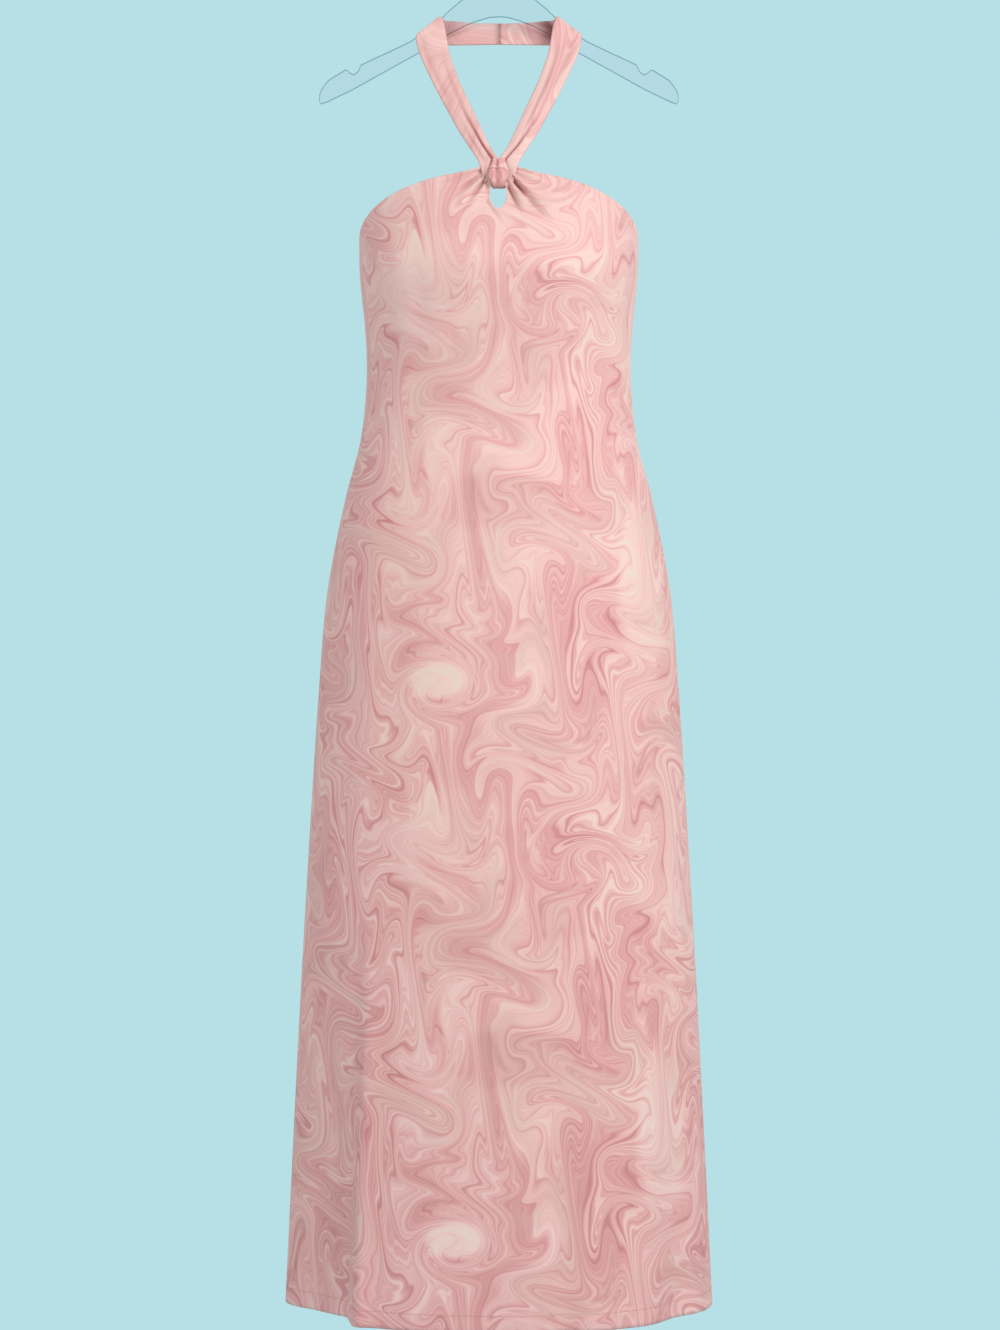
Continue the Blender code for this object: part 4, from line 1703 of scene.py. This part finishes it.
@dataclass
class NeckStraps:
    """The two straps from the loop over the hanger to their seam at centre back."""

    cloth: float = 0.0016
    wall: float = 0.0005
    steps: int = 10
    short_steps: int = 3
    short_rows: tuple[str, ...] = ("front_corner", "over_arm", "back_corner")
    columns: int = 32
    look_ahead: float = 0.0008
    edge_squareness: int = 10
    crease_limit: float = 0.3
    crease_lead: float = 0.25
    crease_end: float = 1.15
    crease_end_reach: float = 0.6
    # Painted shade in the creases and inside the loop over the hanger, and the dark line of the centre back
    # seam.
    fold_tint: float = 0.62
    fold_full: float = 0.0030
    fold_power: float = 1.2
    fold_limit: float = 0.95
    inside_row: float = 13.9
    inside_reach: float = 0.55
    inside_shades: dict[Side, float] = field(default_factory=lambda: {Side.LEFT: 0.10, Side.RIGHT: 0.85})
    seam_shade: float = 0.60
    seam_reach: float = 0.09

    def crease_height(self, side: Side, row: float, share: float) -> float:
        """How far the creases sink the strap's face at one place.

        Args:
            side: which strap.
            row: the place along, in rows of the table.
            share: the place across, from 0 at the outer edge.

        Returns:
            The height, negative in a crease.
        """
        height = 0.0
        for crease in STRAP_CREASES[side]:
            along = (row - crease.start_row) / (crease.end_row - crease.start_row)
            if -self.crease_limit < along < 1.0 + self.crease_limit:
                line = crease.start_share + (crease.end_share - crease.start_share) * along
                fade = smooth_step((self.crease_end - along) / self.crease_end_reach)
                fade *= smooth_step((along + self.crease_lead) / self.crease_lead)
                height -= crease.depth * fold_line(share - line, crease.width) * fade
        return height

    def fold_depth(self, side: Side, row: float, layer: float, relief: float) -> float:
        """The painted shade on the strap's cloth at one place: in its creases, inside its loop over the
        hanger, and the dark line of its centre back seam.

        Args:
            side: which strap.
            row: the place along, in rows of the table.
            layer: 1 for the face that shows in front, -1 for the one that shows in the band.
            relief: the creases' height there.

        Returns:
            The painted shade, from 0 to 1.
        """
        depth = self.fold_tint * (max(-relief * layer, 0.0) / self.fold_full) ** self.fold_power
        if layer < 0.0:
            # Painted shade inside the loop over the hanger, stronger on the right, then the dark line of the
            # centre back seam.
            depth += self.inside_shades[side] * bell(row - self.inside_row, self.inside_reach)
            depth += self.seam_shade * bell(len(STRAP_ROWS) - 1.0 - row, self.seam_reach)
        return min(depth, self.fold_limit)

    def stations(self, knots: Sequence[float]) -> list[Pair]:
        """The rows to sample, each as its place in the table and along the strap.

        Args:
            knots: the table's rows, as places along the strap.

        Returns:
            The stations in order.
        """
        made: list[Pair] = []
        for index, row in enumerate(STRAP_ROWS[:-1]):
            steps = self.short_steps if row.name in self.short_rows else self.steps
            span = knots[index + 1] - knots[index]
            made += [(index + step / steps, knots[index] + span * (step / steps)) for step in range(steps)]
        return [*made, (len(STRAP_ROWS) - 1.0, knots[-1])]

    def build_strap(self, side: Side) -> Object:
        """Builds one strap as a flat tube of cloth with rounded folds at its edges.

        Args:
            side: which side.

        Returns:
            The strap.
        """
        sign = side.value
        outer = [Vector((sign * row.outer_x, row.outer_y, -row.outer_drop)) for row in STRAP_ROWS]
        inner = [Vector((sign * row.inner_x, row.inner_y, -row.inner_drop)) for row in STRAP_ROWS]
        middles = [(edge + other) / 2 for edge, other in zip(outer, inner)]
        knots = list(accumulate(((b - a).length for a, b in zip(middles, middles[1:])), initial=0.0))
        crowns = [row.crown for row in STRAP_ROWS]
        sheet = Sheet()
        for row, place in self.stations(knots):
            start = smooth_value(knots, outer, place)
            across = smooth_value(knots, inner, place) - start
            before = smooth_value(knots, outer, place - self.look_ahead)
            ahead = smooth_value(knots, outer, place + self.look_ahead) - before
            normal = across.cross(ahead).normalized() * -sign
            crown = smooth_value(knots, crowns, place)
            points: list[Vector] = []
            painted_shades: list[float] = []
            for layer in (1.0, -1.0):
                for column in range(self.columns):
                    share = column / self.columns if layer > 0 else 1.0 - column / self.columns
                    half = self.cloth / 2 * (1.0 - abs(2.0 * share - 1.0) ** self.edge_squareness) ** 0.5
                    lift = Vector((0.0, -crown * math.sin(math.pi * share), 0.0))
                    relief = self.crease_height(side, row, share)
                    points.append(start + across * share + lift + normal * (layer * half + relief))
                    painted_shades.append(self.fold_depth(side, row, layer, relief))
            width = sign * across.length
            flat = [(width * column / self.columns, place) for column in range(2 * self.columns + 1)]
            sheet.add_row(points, flat, painted_shades)
        return sheet.build(f"{side.label}_neck_strap", flip=side is Side.LEFT, closed=True)

    def build(self, shaders: ClothShaders) -> None:
        """Builds and dresses both straps.

        Args:
            shaders: the shared shader groups.
        """
        pressed = {"wrinkle": 0.7, "stretch": 0.45, "softened": 0.35}
        finishes = {
            Side.LEFT: ClothFinish("left_strap_print", shift_across=0.03, shift_along=0.22, turn=4.0,
                                   **pressed),
            Side.RIGHT: ClothFinish("right_strap_print", shift_across=0.37, shift_along=0.05, turn=-6.0,
                                    paler=0.03, **pressed),
        }
        for side, finish in finishes.items():
            strap = self.build_strap(side)
            strap.data.materials.append(finish.material(shaders))
            add_wall(strap, self.wall)
            hand_over(strap, f"neck_strap_{side.label}", "strap_cloth", flat=(0.0710, 0.2910), held="folded",
                      rests_on=["hanger_plate", "centre_loop_band"], area=0.0150)


@dataclass
class Hanger:
    """The clear hanger and its wire hook, whose CAD shapes stay."""

    plate_node: str = "hanger_plate"
    hook_node: str = "hanger_hook"

    def build(self) -> None:
        """Gives the hanger's solids their finishes."""
        nodes = {
            self.plate_node: ClearPlasticFinish().material(),
            self.hook_node: BrightWireFinish().material(),
        }
        for name, material in nodes.items():
            thing = bpy.data.objects[name]
            if not thing.material_slots:
                thing.data.materials.append(material)
            for slot in thing.material_slots:
                slot.link = "OBJECT"
                slot.material = material
            LOG.info("%s: dressed in %s", name, material.name)


class Lamp(NamedTuple):
    """A large soft light: its name, place, width and power in watts, and whether shiny things mirror it."""

    name: str
    place: Triple
    size: float
    power: float
    mirrored: bool


@dataclass
class Studio:
    """The camera, the soft lights, the plain backdrop and the floor."""

    distance: float = 2.75
    centre_x: float = 0.00125
    centre_drop: float = 0.7644
    frame_height: float = 1.3832
    sensor: float = 36.0
    lamps: tuple[Lamp, ...] = table(
        Lamp,
        ("key_light", (2.0, -2.3, 0.9), 1.6, 63.0, True),
        ("fill_light", (-2.0, -2.6, -0.4), 2.2, 17.0, True),
        ("back_light", (0.4, 2.8, 0.2), 2.2, 40.0, False),
    )
    aim_drop: float = 0.72
    glow: float = 0.55
    floor_drop: float = 1.90
    floor_radius: float = 1.55
    floor_fade_share: float = 0.35
    floor_sides: int = 96
    floor_colour: Triple = (186, 222, 228)
    backdrop: Triple = (183, 224, 230)

    def build_camera(self) -> None:
        """Sets the camera level with the dress's middle, at the photograph's distance."""
        data = bpy.data.cameras.new("view_camera")
        data.sensor_width = self.sensor
        data.lens = self.sensor * self.distance / self.frame_height
        camera = link("view_camera", data)
        camera.location = (self.centre_x, -self.distance, -self.centre_drop)
        camera.rotation_euler = (math.pi / 2, 0.0, 0.0)
        bpy.context.scene.camera = camera

    def build_lights(self) -> None:
        """Adds the lights, all facing the dress."""
        for row in self.lamps:
            data = bpy.data.lights.new(row.name, "AREA")
            data.shape = "DISK"
            data.size = row.size
            data.energy = row.power
            lamp = link(row.name, data)
            lamp.visible_transmission = False
            lamp.visible_glossy = row.mirrored
            lamp.location = row.place
            aim = Vector((0.0, 0.0, -self.aim_drop)) - Vector(row.place)
            lamp.rotation_euler = aim.to_track_quat("-Z", "Y").to_euler()

    def build_world(self) -> None:
        """Makes the plain backdrop, seen by the camera, and an even neutral light all round."""
        world = bpy.data.worlds.new("studio")
        bpy.context.scene.world = world
        world.use_nodes = True
        world.node_tree.nodes.clear()
        graph = Graph(world.node_tree)
        seen = graph.node("Background", linear(*self.backdrop)).outputs[0]
        glow = graph.node("Background", (1.0, 1.0, 1.0, 1.0), self.glow).outputs[0]
        bounced = graph.node("LightPath").outputs["Is Diffuse Ray"]
        graph.node("OutputWorld", graph.node("MixShader", bounced, seen, glow).outputs[0])

    def build_floor(self) -> None:
        """Lays a pale round floor below the dress, soft at its edge."""
        disc = bmesh.new()
        bmesh.ops.create_circle(disc, cap_ends=True, segments=self.floor_sides, radius=self.floor_radius)
        floor = mesh_object("studio_floor", disc)
        floor.location = (0.0, 0.0, -self.floor_drop)
        material, graph, shader = start_material("pale_floor")
        distance = graph.measure("LENGTH", graph.node("TexCoord").outputs["Object"])
        inner = self.floor_fade_share * self.floor_radius
        fade = graph.fade(distance, self.floor_radius, inner, "SMOOTHSTEP")
        graph.fill(shader, {"Alpha": fade, "Base Color": linear(*self.floor_colour), "Roughness": 0.9})
        floor.data.materials.append(material)

    def build(self) -> None:
        """Builds the whole studio."""
        self.build_camera()
        self.build_lights()
        self.build_world()
        self.build_floor()
        bpy.context.scene.view_settings.view_transform = "Standard"
        LOG.info("studio: camera, %d lights, backdrop and floor", len(self.lamps))


def main() -> None:
    """Builds the dress, then the hanger's finishes, then the studio."""
    logging.basicConfig(level=logging.INFO, format="%(name)s: %(message)s")
    shaders = ClothShaders()
    thread = ThreadFinish().material()
    DressBody().build(shaders, thread)
    CentreLoop().build(shaders)
    NeckStraps().build(shaders)
    Hanger().build()
    Studio().build()


if __name__ == "__main__":
    main()
